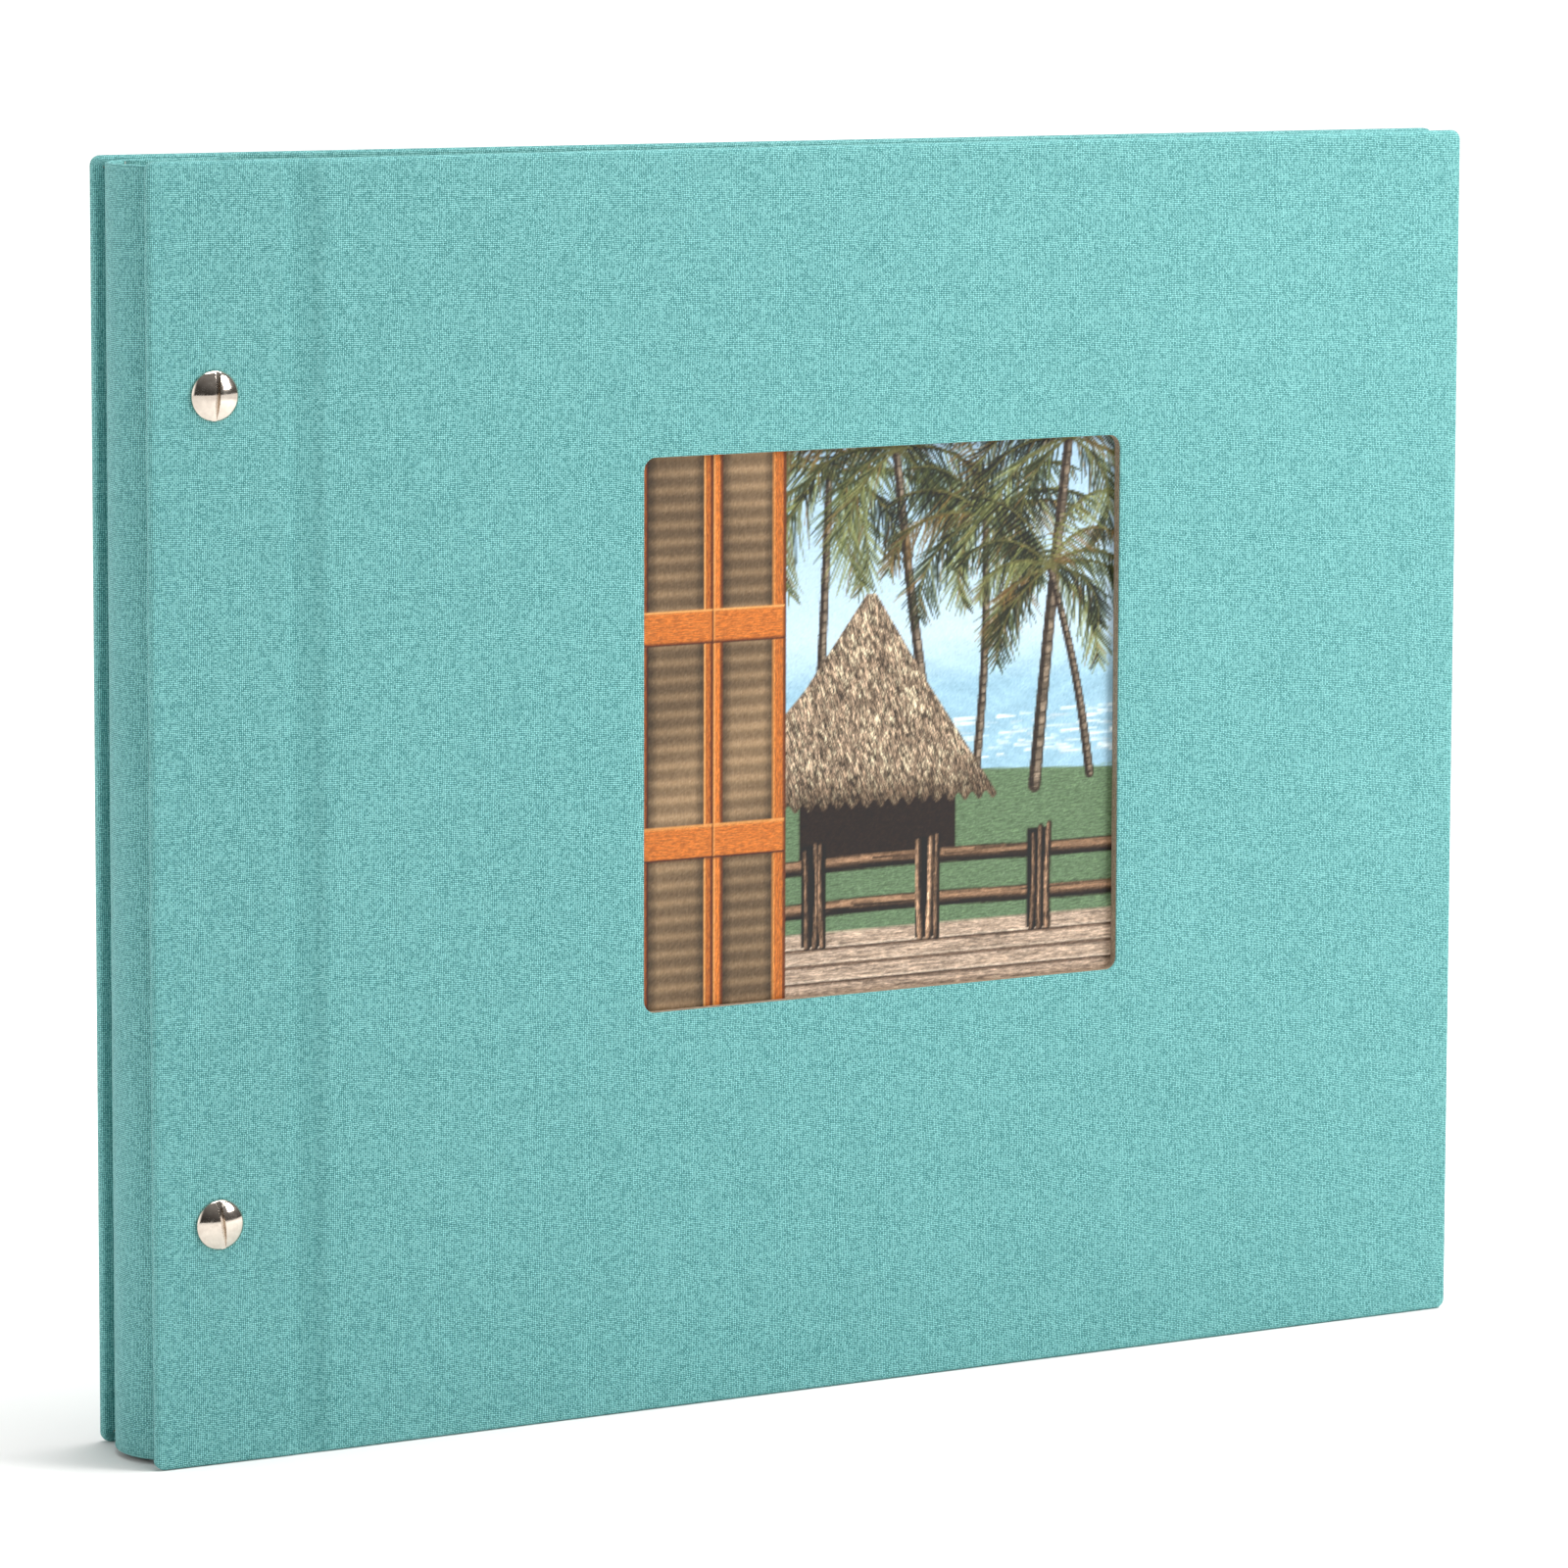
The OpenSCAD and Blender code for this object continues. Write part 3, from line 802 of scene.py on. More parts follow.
def thatch(canvas, mask, colour, degrees, count, box):
    """Straw: many short strokes in one direction, kept inside the mask."""
    keep = canvas.colour.copy()
    canvas.paint(np.ones_like(canvas.x), shaded(colour, 0.8))
    rnd = canvas.random
    for _ in range(count):
        x, y = rnd.uniform(box[0], box[1]), rnd.uniform(box[2], box[3])
        a = math.radians(degrees) + rnd.gauss(0, 0.28)
        size = rnd.uniform(0.006, 0.02)
        tone = rnd.choice((0.38, 0.55, 0.75, 0.95, 1.15, 1.35, 1.6))
        canvas.stroke(x, y, x + math.cos(a) * size, y + math.sin(a) * size, 0.0013, 0.0006,
                      shaded(colour, tone), 0.8)
    share = np.clip(mask, 0, 1)[..., None]
    canvas.colour = keep * (1 - share) + canvas.colour * share
    canvas.grain(mask, degrees, 0.75)


def log(canvas, start, end, w0, w1, colour=(138, 114, 94)):
    """A round rail with a lit top, a dark underside and cracks along it."""
    rnd = canvas.random
    points = [(start[0] + (end[0] - start[0]) * t, start[1] + (end[1] - start[1]) * t
               + 0.004 * math.sin(5 * t)) for t in np.linspace(0, 1, 18)]
    canvas.curve(points, w0, w1, shaded(colour, 0.36))
    across = math.atan2(end[1] - start[1], end[0] - start[0]) + math.pi / 2
    for k in range(7):
        lift = (k / 6 - 0.3) * w0 * 0.95
        tone = 0.55 + 0.85 * smooth(k / 6) * (1.1 - 0.5 * (k / 6) ** 3)
        moved = [(x + math.cos(across) * lift, y + math.sin(across) * lift) for x, y in points]
        canvas.curve(moved, w0 * 0.22, w1 * 0.22, shaded(colour, tone), vary=0.25)
    for _ in range(12):
        t = rnd.uniform(0.02, 0.75)
        lift = rnd.uniform(-0.6, 0.7) * w0
        x = start[0] + (end[0] - start[0]) * t + math.cos(across) * lift
        y = start[1] + (end[1] - start[1]) * t + math.sin(across) * lift
        run = rnd.uniform(0.06, 0.2)
        canvas.stroke(x, y, x + (end[0] - start[0]) * run, y + (end[1] - start[1]) * run, 0.0011, 0.0005,
                      shaded(colour, 0.3), 0.85)


def post(canvas, x, low, high, width, sticks):
    """A post of bound, crooked sticks with dark gaps between them."""
    rnd = canvas.random
    body = canvas.between(x - width / 2, x + width / 2) * canvas.edge(high - canvas.y) \
        * canvas.edge(canvas.y - low)
    canvas.paint(body, (34, 27, 22))
    for k in range(sticks):
        at = x + width * ((k + 0.5) / sticks - 0.5)
        tone = rnd.uniform(0.65, 1.2)
        lean, bow = rnd.uniform(-0.006, 0.006), rnd.uniform(-0.005, 0.005)
        top = high + rnd.uniform(-0.014, 0.01)
        for part, shade in ((0.0, 0.5), (0.28, 1.0), (0.42, 1.35)):
            line = [(at + width / sticks * (0.4 - part) * 0.5 + lean * t + bow * math.sin(3 * t),
                     low + (top - low) * t) for t in np.linspace(0, 1, 14)]
            gap = width / sticks
            canvas.curve(line, gap * (0.40 - part * 0.6), gap * (0.34 - part * 0.6),
                         shaded((134, 112, 94), tone * shade), vary=0.35)
    canvas.grain(body, 88, 0.6)


def shutter(canvas, left, right, low, high):
    """A louvred panel behind a dusty screen."""
    inside = canvas.between(left, right) * canvas.edge(canvas.y - low) * canvas.edge(high - canvas.y)
    wave = (0.5 + 0.5 * np.sin(2 * np.pi * canvas.y / 0.031)) ** 1.5
    glow = 0.5 + 0.5 * np.sin(9 * canvas.x + 3.1 * np.sin(5 * canvas.y + 1))
    edge = np.clip(np.minimum(canvas.x - left, right - canvas.x) / 0.02, 0, 1)
    tone = (0.66 + 0.18 * wave + 0.16 * glow) * (0.7 + 0.3 * edge)
    base = tone[..., None] * np.array((168, 145, 118))
    share = np.clip(inside, 0, 1)[..., None]
    canvas.colour = canvas.colour * (1 - share) + base * share
    canvas.grain(inside, 90, 0.12)


def framed_shutters(canvas):
    """A folded-back pair of louvred shutters in wooden frames."""
    wood, dark, pale = (184, 118, 64), (88, 54, 30), (218, 166, 110)
    canvas.paint(canvas.edge(0.30 - canvas.x), dark)
    for left, right in ((0.018, 0.132), (0.170, 0.274)):
        for low, high in ((-0.1, 0.27), (0.33, 0.66), (0.72, 1.1)):
            shutter(canvas, left, right, low, high)
    for left, right, tone in ((-0.01, 0.018, 0.85), (0.132, 0.150, 0.95), (0.152, 0.170, 1.1),
                              (0.274, 0.300, 1.0)):
        bar = canvas.between(left, right)
        canvas.paint(bar, shaded(wood, tone))
        canvas.paint(canvas.between(right - 0.004, right), dark)
        canvas.paint(canvas.between(left, left + 0.003), pale)
        canvas.grain(bar, 90, 0.35)
    for low in (0.27, 0.66):
        for left, right in ((0.0, 0.148), (0.154, 0.296)):
            rail = canvas.between(left, right) * canvas.edge(canvas.y - low) \
                * canvas.edge(low + 0.06 - canvas.y)
            canvas.paint(rail, shaded(wood, 1.05))
            canvas.grain(rail, 0, 0.35)
            canvas.stroke(left, low + 0.059, right, low + 0.059, 0.002, 0.002, pale)
            canvas.stroke(left, low + 0.001, right, low + 0.001, 0.002, 0.002, dark)


def beach(canvas):
    """Sky, sea with surf, and a lawn."""
    x, y, rnd = canvas.x, canvas.y, canvas.random
    sky = np.clip((y - 0.5) / 0.5, 0, 1)[..., None]
    canvas.colour = np.array((206, 224, 236)) * (1 - sky) + np.array((170, 196, 216)) * sky
    canvas.paint(canvas.edge(0.60 - y, 30), (160, 192, 208))
    swell = np.sin(90 * y + 6 * np.sin(11 * x)) + 0.6 * np.sin(230 * y + 9 * np.sin(17 * x))
    canvas.colour += (swell * canvas.edge(0.62 - y, 30) * 4)[..., None]
    for _ in range(220):
        sx, sy = rnd.uniform(0.3, 1.0), rnd.uniform(0.41, 0.50)
        canvas.stroke(sx, sy, sx + rnd.uniform(0.01, 0.06), sy + rnd.uniform(-0.003, 0.003),
                      0.0026, 0.0008,
                      rnd.choice(((244, 247, 248), (214, 226, 230), (188, 202, 208))), 0.7)
    lawn = canvas.below((0, 0.385), (0.6, 0.40), (1, 0.38))
    canvas.paint(lawn, (112, 132, 106))
    canvas.grain(lawn, 5, 0.3)
    for _ in range(1800):
        gx, gy = rnd.random(), rnd.uniform(0.0, 0.385)
        canvas.stroke(gx, gy, gx + 0.008, gy + 0.001, 0.0014, 0.0006,
                      shaded((116, 138, 108), rnd.uniform(0.75, 1.2)), 0.6)


def deck(canvas):
    """Weathered planks along the bottom."""
    rnd = canvas.random
    planks = canvas.edge(0.115 - canvas.y)
    keep = canvas.colour.copy()
    canvas.paint(np.ones_like(canvas.x), (184, 166, 150))
    for _ in range(1500):
        x, y = rnd.uniform(0.28, 1.0), rnd.uniform(-0.02, 0.12)
        tone = rnd.choice((0.6, 0.78, 0.92, 1.08, 1.2))
        canvas.stroke(x, y, x + rnd.uniform(0.015, 0.06), y, 0.0015, 0.0005,
                      shaded((188, 168, 150), tone), 0.55)
    for rise in (0.022, 0.054, 0.084):
        canvas.stroke(0.28, rise, 1.0, rise, 0.0022, 0.0022, (70, 54, 44), 0.85)
        canvas.stroke(0.28, rise + 0.004, 1.0, rise + 0.004, 0.0012, 0.0012, (220, 206, 190), 0.6)
    share = np.clip(planks, 0, 1)[..., None]
    canvas.colour = keep * (1 - share) + canvas.colour * share
    canvas.grain(planks, 0, 0.4)


def painted_view(width, height):
    """An invented seaside view: shutters, a thatched hut, palms, a plain log fence and a deck."""
    canvas = Canvas(width, height)
    x, y = canvas.x, canvas.y
    beach(canvas)
    for foot, crown, girth, spread, fronds in (
            ((0.36, 0.36), (0.39, 0.95), 0.010, 0.27, 11),
            ((0.62, 0.36), (0.53, 0.99), 0.011, 0.28, 11),
            ((0.70, 0.36), (0.72, 0.86), 0.009, 0.24, 11), ((0.83, 0.355), (0.90, 1.00), 0.013, 0.30, 13),
            ((0.95, 0.37), (0.86, 0.76), 0.009, 0.22, 11)):
        palm(canvas, foot, crown, girth, spread, fronds)
    eaves = 0.345 + 0.007 * np.sin(210 * x)
    roof = canvas.below((0.28, 0.50), (0.34, 0.56), (0.47, 0.73), (0.49, 0.73), (0.60, 0.56),
                        (0.74, 0.36), (0.76, 0.33)) * canvas.edge(y - eaves)
    doorway = canvas.between(0.33, 0.66) * canvas.edge(0.36 - y) * canvas.edge(y - 0.24)
    canvas.paint(doorway, (58, 46, 38))
    thatch(canvas, roof, (166, 147, 128), -72, 13000, (0.26, 0.8, 0.3, 0.76))
    canvas.paint(roof * np.clip(1 - (y - eaves) / 0.07, 0, 1) * 0.5, (52, 42, 33))
    deck(canvas)
    for rise in (0.235, 0.155):
        log(canvas, (0.29, rise), (1.02, rise + 0.004), 0.014, 0.014)
    for at in (0.36, 0.60, 0.84):
        post(canvas, at, 0.09, 0.275, 0.05, 3)
    framed_shutters(canvas)
    grain = np.random.default_rng(3).normal(0, 5.0, (canvas.height, canvas.width, 1))
    punchy = 112 + (canvas.colour - 128) * 1.25 + grain
    return np.clip(punchy, 4, 252), canvas.streak


def window_print():
    """The print behind the window: a thin plate whose front is painted point by point."""
    pitch, border = 0.36, picture_border
    s_lines = [window_left - border] + lines((window_left, pitch), (window_right, 0)) \
        + [window_right + border]
    z_lines = [window_low - border] + lines((window_low, pitch), (window_high, 0)) \
        + [window_high + border]
    columns, rows = len(s_lines), len(z_lines)
    picture, streak = painted_view(columns - 2, rows - 2)
    picture = np.pad(picture, ((1, 1), (1, 1), (0, 0)), mode="edge") / 255
    streak = np.pad(streak, ((1, 1), (1, 1), (0, 0)))
    linear = np.where(picture <= 0.04045, picture / 12.92, ((picture + 0.055) / 1.055) ** 2.4)
    front, back = LINEN_T + BOARD_T + 0.012, LINEN_T + BOARD_T + 0.25
    points, colours, streaks, faces = [], [], [], []
    for j, z in enumerate(z_lines):
        for i, s in enumerate(s_lines):
            points.append(cover_point(-1, s, front, z))
            colours.append((*linear[j, i], 1.0))
            streaks.append(tuple(streak[j, i]))
    for j in range(rows - 1):
        for i in range(columns - 1):
            a = j * columns + i
            faces.append((a, a + 1, a + columns + 1, a + columns))
    # plain white rim and back
    rim = list(range(columns)) + [j * columns + columns - 1 for j in range(1, rows)] \
        + [(rows - 1) * columns + i for i in range(columns - 2, -1, -1)] \
        + [j * columns for j in range(rows - 2, 0, -1)]
    base = len(points)
    for index in rim:
        i, j = index % columns, index // columns
        points.append(cover_point(-1, s_lines[i], back, z_lines[j]))
        colours.append((0.8, 0.8, 0.78, 1.0))
        streaks.append((1.0, 0.0, 0.0))
    for k in range(len(rim)):
        m = (k + 1) % len(rim)
        faces.append((rim[k], base + k, base + m, rim[m]))
    faces.append(tuple(base + k for k in range(len(rim))))
    mesh = bpy.data.meshes.new("window_print")
    mesh.from_pydata(points, [], faces)
    paint = mesh.attributes.new("paint", "FLOAT_COLOR", "POINT")
    paint.data.foreach_set("color", np.array(colours, np.float32).ravel())
    fine = mesh.attributes.new("streak", "FLOAT_VECTOR", "POINT")
    fine.data.foreach_set("vector", np.array(streaks, np.float32).ravel())
    return finish_mesh("window_print", mesh, print_paper, smooth_faces=False)


picture = window_print()
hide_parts("window_picture")
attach(picture, "front_cover")


# ---------------------------------------------------------------- spine
def spine_linen():
    """The spine's linen: flaps, folds and rounded web, turned in over both ends of the card."""
    fold_y = -outer_y - INNER_DEPTH
    fold_x, apex_x = edge_x + 6.0, spine_low.x
    rise = fold_x - apex_x
    radius = (fold_y * fold_y + rise * rise) / (2 * rise)
    centre_x = apex_x + radius
    half_angle = math.asin(fold_y / radius)
    flap_end = spine_high.x
    tuck, cap = 0.03, 0.33           # behind the joint's linen, and over the card's ends
    section = []                     # x, y, inward normal, thickness, length of turn-in
    for x in lines((flap_end, 3.0), (fold_x + 0.4, 0)):
        section.append((x, -fold_y + tuck, (0, 1), 0.78, 3.0))
    for a in np.linspace(-half_angle, half_angle, 49):
        x, y = centre_x - radius * math.cos(a), radius * math.sin(a)
        web = smooth((half_angle - abs(a)) / math.radians(9))
        y -= math.copysign(tuck, y) * (1 - web)
        section.append((x, y, (math.cos(a), -math.sin(a)), 0.78 + 0.3 * web, 3.0 + 9.0 * web))
    for x in lines((fold_x + 0.4, 3.0), (flap_end, 0)):
        section.append((x, fold_y - tuck, (0, -1), 0.78, 3.0))
    low, high = spine_low.z - cap, spine_high.z + cap
    sheet = Sheet()
    walked = 0.0
    columns = []
    for k, (x, y, (nx, ny), thick, turn) in enumerate(section):
        if k:
            walked += math.dist((x, y), section[k - 1][:2])
        column = []

        def put(z, inward, flat_z, rub):
            column.append(sheet.add(Vector((x + nx * inward, y + ny * inward, z)) * MM,
                                    (400 + walked, flat_z), rub))

        half = thick / 2
        bow = math.pi * half
        for t in (1.0, 0.66, 0.33, 0.0):
            put(low + half + (turn - half) * t, thick, low - bow - turn * t, 0.1)
        for a in np.linspace(15, 165, 11):
            a = math.radians(a)
            put(low + half - half * math.sin(a), half + half * math.cos(a),
                low - bow + half * a, 0.8)
        for z in lines((low + half, 2.5), (high - half, 0)):
            waver = 0.05 * noise.noise(Vector((walked / 7, z / 12, 3)))
            put(z, waver, z, 0.35 * smooth(1 - min(z - low, high - z) / 2.5))
        for a in np.linspace(15, 165, 11):
            a = math.radians(a)
            put(high - half + half * math.sin(a), half - half * math.cos(a), high + half * a, 0.8)
        for t in (0.0, 0.33, 0.66, 1.0):
            put(high - half - (turn - half) * t, thick, high + bow + turn * t, 0.1)
        columns.append(column)
    for a, b in zip(columns, columns[1:]):
        sheet.strip(a, b)
    return sheet.build("spine_linen", linen), walked, high - low


spine, spine_around, spine_height = spine_linen()
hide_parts("spine_cloth")
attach(spine, "binding")


# ---------------------------------------------------------------- leaves
def page(number):
    """One card leaf: its margin runs into the guard, with a scored crease and round corners."""
    joint = JOINTS[f"leaf_{number:02d}_crease"]
    crease = Vector(joint["pos_m"]) / MM
    low, high = box_mm(f"leaf_{number:02d}")
    fore = Vector((high.x, low.y if crease.y > 0 else high.y, 0))
    thick = 0.28
    run = Vector((fore.x - crease.x, (fore.y - math.copysign(thick / 2, -crease.y)) - crease.y, 0))
    width = run.length
    along = run.normalized()
    across = Vector((-along.y, along.x, 0))
    corner, score = 3.0, 0.05
    half = thick / 2
    spots = [(-1.8, 0), (-0.9, 0), (-0.4, 0), (-0.2, 0.5), (0.0, 1), (0.2, 0.5), (0.4, 0), (0.9, 0)]
    spots += [(t, 0) for t in lines((6, 32.0), (width - corner, 0))]
    spots += [(width - corner + corner * math.sin(math.radians(a)), 0) for a in (18, 36, 54, 72, 90)]
    sheet = Sheet()
    rows = []
    for t, dent in spots:
        past = max(0.0, t - (width - corner))
        cut = corner - math.sqrt(max(corner ** 2 - past ** 2, 0.0)) if past else 0.0
        direction = along if t > 0 else Vector((1, 0, 0))
        side = across if t > 0 else Vector((0, 1, 0))
        middle = Vector((crease.x, crease.y, 0)) + direction * t
        z0, z1 = low.z + cut, high.z - cut
        thin = half - score * dent
        soft = 0.05
        ring = [(thin, z0 + soft), (thin, z1 - soft), (thin - soft, z1), (soft - thin, z1),
                (-thin, z1 - soft), (-thin, z0 + soft), (soft - thin, z0), (thin - soft, z0)]
        rows.append([sheet.add((middle + side * off + Vector((0, 0, z))) * MM, (t, z))
                     for off, z in ring])
    for a, b in zip(rows, rows[1:]):
        sheet.strip(a, b, closed=True)
    sheet.faces += [tuple(rows[0]), tuple(rows[-1])]
    piece = sheet.build(f"page_{number:02d}", page_card, smooth_faces=False)
    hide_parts(f"leaf_{number:02d}")
    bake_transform(piece)
    return piece


page_count = sum(name.startswith("leaf_") and name.endswith("_crease") for name in JOINTS)
for number in range(1, page_count + 1):
    page(number)


# ---------------------------------------------------------------- screws and posts
def applied(piece):
    """The piece with its modifiers made part of its mesh."""
    bpy.context.view_layer.update()
    mesh = bpy.data.meshes.new_from_object(piece.evaluated_get(bpy.context.evaluated_depsgraph_get()))
    piece.modifiers.clear()
    piece.data = mesh
    return piece


def lathe(profile, turns=72):
    """A closed solid turned about Z from (radius, height) points; radius 0 closes an end."""
    points, faces, rings = [], [], []
    for radius, height in profile:
        if radius == 0:
            points.append((0, 0, height))
            rings.append([len(points) - 1])
        else:
            ring = []
            for k in range(turns):
                a = 2 * math.pi * k / turns
                points.append((radius * math.cos(a), radius * math.sin(a), height))
                ring.append(len(points) - 1)
            rings.append(ring)
    for a, b in zip(rings, rings[1:]):
        for k in range(turns):
            m = (k + 1) % turns
            if len(a) == 1:
                faces.append((a[0], b[k], b[m]))
            elif len(b) == 1:
                faces.append((a[k], b[0], a[m]))
            else:
                faces.append((a[k], b[k], b[m], a[m]))
    return points, faces


HEAD_R, HEAD_H, RIM_H = 4.9, 2.0, 0.5   # the domed head of a screw or post
SLOT_W, SLOT_FLOOR = 0.9, 0.2           # the slot stops this far above the rim
SLOT_TURNS = {"upper": -4, "lower": 7}  # degrees from upright
SHANK_D, SHANK_L = 3.6, 9.5
BARREL_D, BARREL_L = 5.0, 27.8
BORE_D, BORE_DEPTH = 3.7, 21.0
DOME_STEPS = 14


def slotted_screw(name, node, facing, slot_turn, shank_d, shank_l, bore_d=0.0, bore_depth=0.0):
    """A domed, slotted head on its shank. facing is -1 for a head at the front, 1 at the back."""
    low, high = box_mm(node)
    cap_h = HEAD_H - RIM_H
    cap_r = (HEAD_R ** 2 + cap_h ** 2) / (2 * cap_h)
    cap_angle = math.asin(HEAD_R / cap_r)
    profile = [(0, -shank_l)]
    if bore_d:
        profile = [(0, bore_depth - shank_l), (bore_d / 2, bore_depth - shank_l),
                   (bore_d / 2, 0.15 - shank_l), (bore_d / 2 + 0.15, -shank_l)]
    profile += [(shank_d / 2 - 0.2, -shank_l), (shank_d / 2, 0.2 - shank_l), (shank_d / 2, 0.0)]
    profile += [(HEAD_R - 0.12, 0.0), (HEAD_R - 0.02, 0.08), (HEAD_R, 0.2), (HEAD_R - 0.03, 0.36),
                (HEAD_R - 0.12, 0.52)]
    for k in range(1, DOME_STEPS + 1):
        a = cap_angle * (1 - k / DOME_STEPS) * 0.955
        profile.append((cap_r * math.sin(a), HEAD_H - cap_r + cap_r * math.cos(a)))
    profile[-1] = (0, HEAD_H)
    points, faces = lathe(profile)
    mesh = bpy.data.meshes.new(name)
    mesh.from_pydata(points, [], faces)
    piece = finish_mesh(name, mesh, nickel, merge=1e-5)
    slot_depth = cap_h - SLOT_FLOOR
    bpy.ops.mesh.primitive_cube_add(size=1)
    cutter = bpy.context.active_object
    cutter.data.transform(Matrix.Diagonal((SLOT_W, 14, 2 * slot_depth, 1)))
    cutter.data.transform(Matrix.Translation((0, 0, HEAD_H)))
    cutter.data.transform(Matrix.Rotation(math.radians(slot_turn), 4, "Z"))
    carve = piece.modifiers.new("slot", "BOOLEAN")
    carve.object = cutter
    carve.solver = "EXACT"
    applied(piece)
    bpy.data.objects.remove(cutter)
    bevel = piece.modifiers.new("softened", "BEVEL")
    bevel.width = 0.09
    bevel.segments = 3
    bevel.limit_method = "ANGLE"
    bevel.angle_limit = math.radians(38)
    applied(piece)
    # local +Z, out of the head, becomes -Y at the front and +Y at the back
    spin = Matrix.Rotation(math.radians(90 if facing < 0 else -90), 4, "X")
    seat_y = facing * (-outer_y)
    middle_z = (low.z + high.z) / 2
    middle_x = (low.x + high.x) / 2
    return piece, spin, seat_y, middle_x, middle_z


def place_screw(made, middle_z=None):
    """Moves a finished screw from its own axes to the row frame, in metres."""
    piece, spin, seat_y, middle_x, own_z = made
    at = Vector((middle_x, seat_y, own_z if middle_z is None else middle_z))
    piece.data.transform(Matrix.Scale(MM, 4) @ Matrix.Translation(at) @ spin)
    for polygon in piece.data.polygons:
        polygon.use_smooth = True
    if not piece.data.materials:
        piece.data.materials.append(nickel)
    return piece


def middle_height(node):
    low, high = box_mm(node)
    return (low.z + high.z) / 2


for level, slot_turn in SLOT_TURNS.items():
    node = f"{level}_screw"
    piece = place_screw(slotted_screw(f"{node}_head", node, -1, slot_turn, SHANK_D, SHANK_L))
    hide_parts(node)
    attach(piece, node)
for level in SLOT_TURNS:
    made = slotted_screw(f"{level}_post", "binding_posts", 1, 0, BARREL_D, BARREL_L,
                         bore_d=BORE_D, bore_depth=BORE_DEPTH)
    piece = place_screw(made, middle_height(f"{level}_screw"))
    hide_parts("binding_posts")
    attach(piece, "binding")


# ---------------------------------------------------------------- CAD nodes that stay
def finish_node(node, material):
    """Gives a CAD node that keeps its shape its material."""
    mesh = frame["nodes"][node].data
    mesh.materials.clear()
    mesh.materials.append(material)


for label in ("front", "back"):
    finish_node(f"{label}_hinge_board", greyboard)
    finish_node(f"{label}_cover_board", greyboard)
    finish_node(f"{label}_cover_lining", lining_paper)
finish_node("picture_pocket", filler_card)
finish_node("spine_board", filler_card)
finish_node("leaf_guards", guard_card)
for number in range(1, page_count + 1):
    finish_node(f"glassine_{number:02d}", glassine)


# ---------------------------------------------------------------- camera, floor and light
def camera_axes(azimuth, elevation, roll):
    """Back, right and up of a camera that looks at the album from that side."""
    a, e, r = (math.radians(v) for v in (azimuth, elevation, roll))
    back = Vector((math.sin(a) * math.cos(e), -math.cos(a) * math.cos(e), math.sin(e)))
    right = Vector((0, 0, 1)).cross(back).normalized()
    up = back.cross(right)
    return back, math.cos(r) * right + math.sin(r) * up, math.cos(r) * up - math.sin(r) * right


CAMERA_ANGLES = (-28.31, 6.466, 0.17)   # azimuth, elevation and roll, in degrees
CAMERA_BACK = 1.3786                    # metres from the middle of the album
CAMERA_LEFT, CAMERA_UP = 0.00529, 0.03409
FLOOR_HALF = 12.0                       # metres
FLOOR_DROP = 0.00002                    # keeps the floor clear of the covers' lower edges


def make_camera():
    back, right, up = camera_axes(*CAMERA_ANGLES)
    data = bpy.data.cameras.new("camera")
    data.sensor_width = 36
    data.lens = 157.5
    data.shift_y = -0.12
    data.clip_end = 100
    camera = add_object("camera", data)
    middle = Vector((0, 0, cover_h / 2 * MM))
    place = middle + back * CAMERA_BACK - right * CAMERA_LEFT + up * CAMERA_UP
    turn = Matrix((right, up, back)).transposed().to_4x4()
    camera.matrix_world = Matrix.Translation(place) @ turn
    bpy.context.scene.camera = camera


def make_floor():
    """A plain, pale, matt floor."""
    shader = Shader("floor", Roughness=0.9, Specular_IOR_Level=0.1)
    mottle = shader.noise(shader.place(), 3.0, 3.0)
    pale = shader.ramp(mottle, (0.3, (0.87, 0.86, 0.85, 1)), (0.7, (0.9, 0.89, 0.88, 1)))
    half = FLOOR_HALF
    mesh = bpy.data.meshes.new("floor")
    mesh.from_pydata([(-half, -half, 0), (half, -half, 0), (half, half, 0), (-half, half, 0)], [],
                     [(0, 1, 2, 3)])
    mesh.materials.append(shader.done(Base_Color=pale))
    floor = add_object("floor", mesh)
    floor.location.z = -FLOOR_DROP


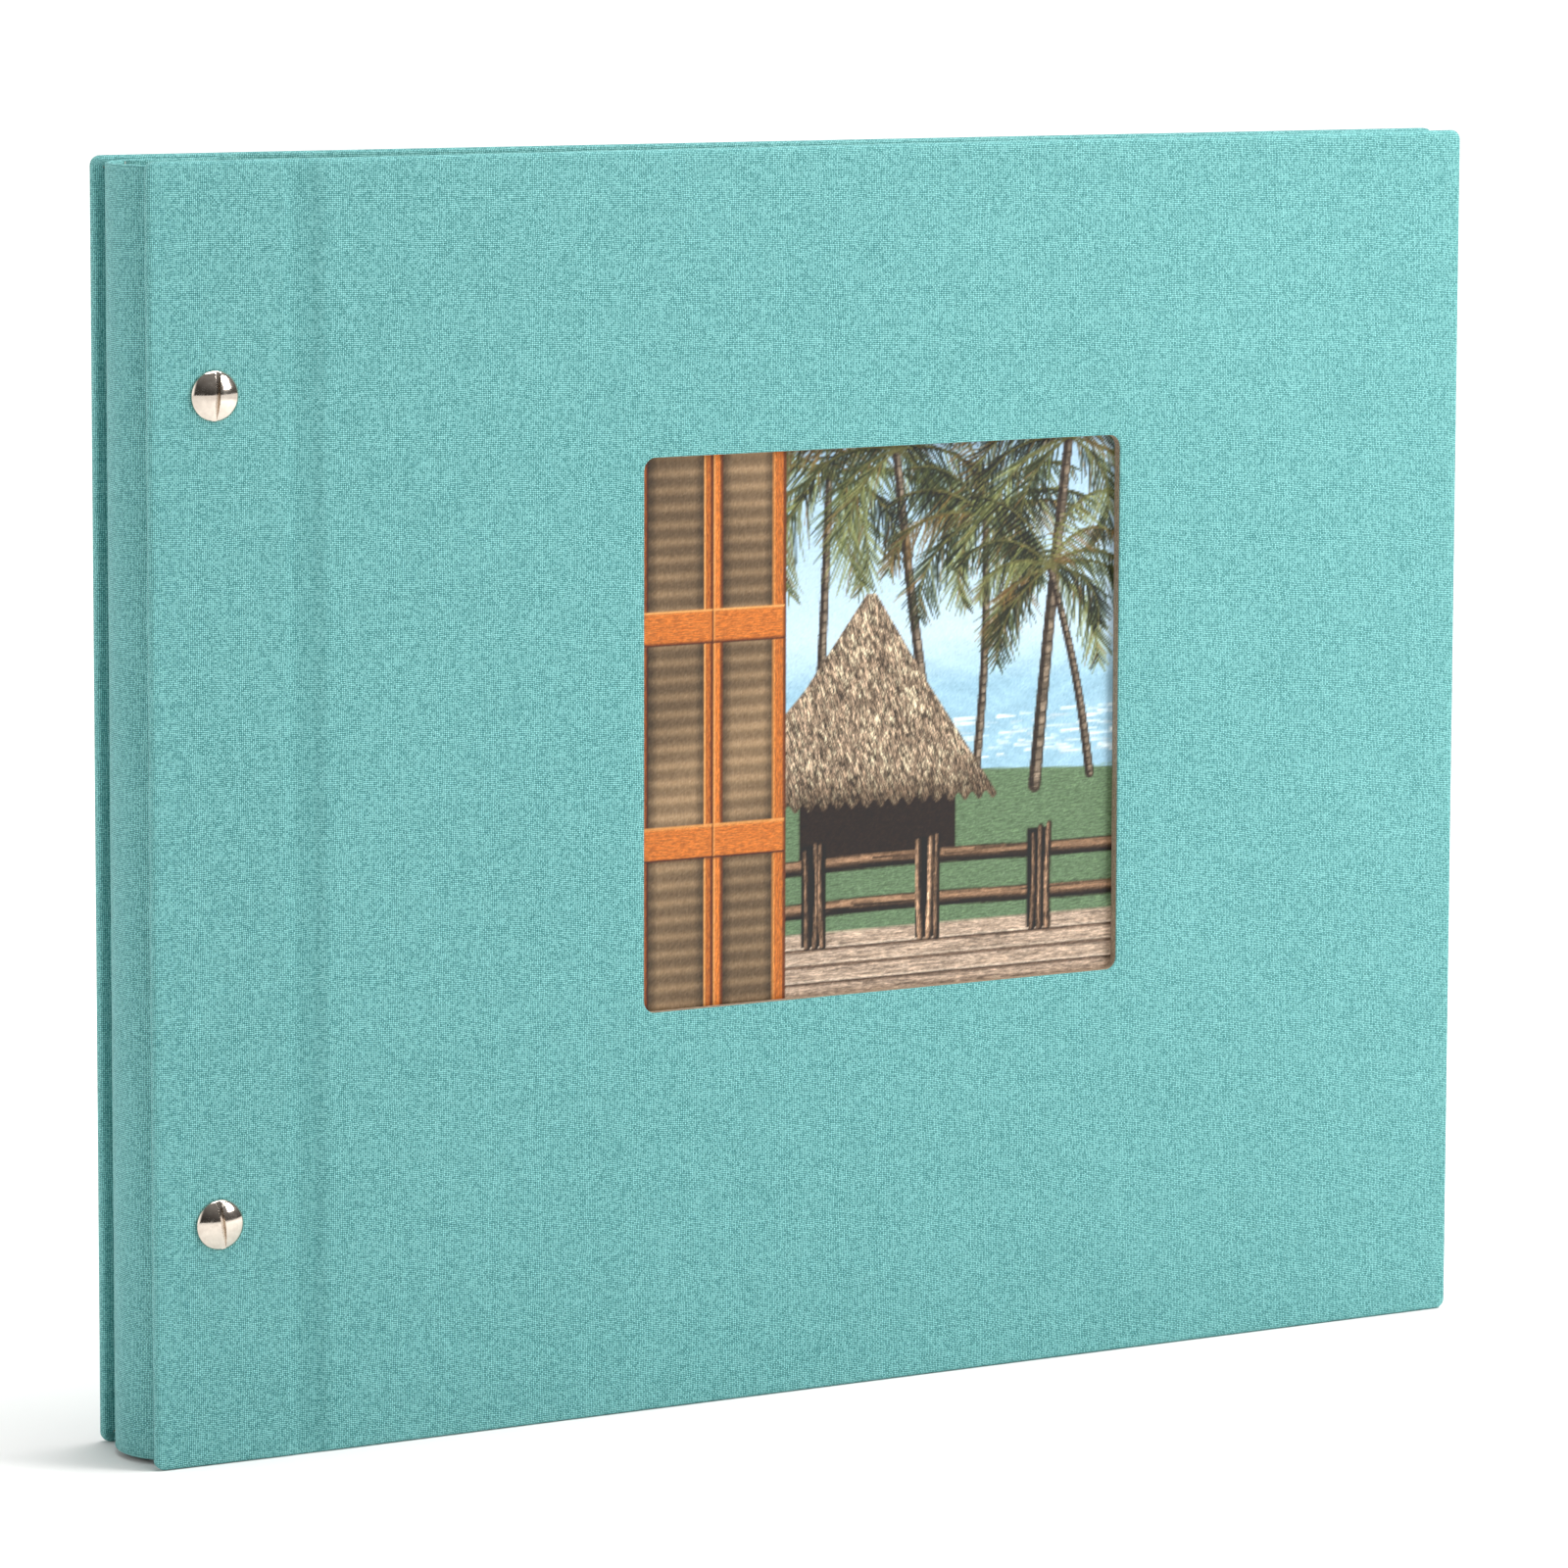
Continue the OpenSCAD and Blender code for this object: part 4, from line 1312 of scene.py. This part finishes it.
# Soft light from all round: an axis, the cosines at which its glow starts and is full, and
# how bright it is. The camera's own side stays dim, as the screws' domes show.
GLOWS = (
    ("all", (0, 0, 1), -2.0, -1.5, 0.07),
    ("above", (0.4, -0.3, 1), 0.25, 0.95, 0.21),
    ("left", (-1, 0.05, 0.1), 0.62, 0.95, 1.6),
    ("behind", (0.0, 1, 0.15), 0.3, 0.95, 0.7),
)


def make_world():
    """A studio's soft walls and ceiling."""
    world = bpy.data.worlds.new("studio")
    bpy.context.scene.world = world
    world.use_nodes = True
    nodes, links = world.node_tree.nodes, world.node_tree.links
    nodes.clear()
    output = nodes.new("ShaderNodeOutputWorld")
    shine = nodes.new("ShaderNodeBackground")
    links.new(shine.outputs[0], output.inputs[0])
    where = nodes.new("ShaderNodeTexCoord").outputs["Generated"]
    total = None
    for name, axis, start, full, strength in GLOWS:
        facing = nodes.new("ShaderNodeVectorMath")
        facing.operation = "DOT_PRODUCT"
        links.new(where, facing.inputs[0])
        facing.inputs[1].default_value = Vector(axis).normalized()
        spread = nodes.new("ShaderNodeMapRange")
        spread.name = name
        spread.interpolation_type = "SMOOTHSTEP"
        for k, value in enumerate((start, full, 0.0, strength)):
            spread.inputs[k + 1].default_value = value
        links.new(facing.outputs["Value"], spread.inputs[0])
        if total is None:
            total = spread.outputs[0]
        else:
            both = nodes.new("ShaderNodeMath")
            links.new(total, both.inputs[0])
            links.new(spread.outputs[0], both.inputs[1])
            total = both.outputs[0]
    links.new(total, shine.inputs["Strength"])
    shine.inputs["Color"].default_value = (1, 0.99, 0.98, 1)


def add_light(name, kind, place, target, power, **settings):
    data = bpy.data.lights.new(name, kind)
    data.energy = power
    for key, value in settings.items():
        setattr(data, key, value)
    lamp = add_object(name, data)
    place, target = Vector(place), Vector(target)
    lamp.location = place
    lamp.rotation_euler = (place - target).to_track_quat("Z", "Y").to_euler()


make_camera()
make_floor()
make_world()
add_light("overhead", "SUN", (0.35, -0.02, 1.3), (0, 0, 0), 3.0, angle=math.radians(46))
add_light("softbox", "AREA", (0.56, -0.56, 0.60), (0.08, 0, 0.18), 6.7, shape="RECTANGLE",
          size=0.34, size_y=0.5)
bpy.context.scene.view_settings.view_transform = "Standard"
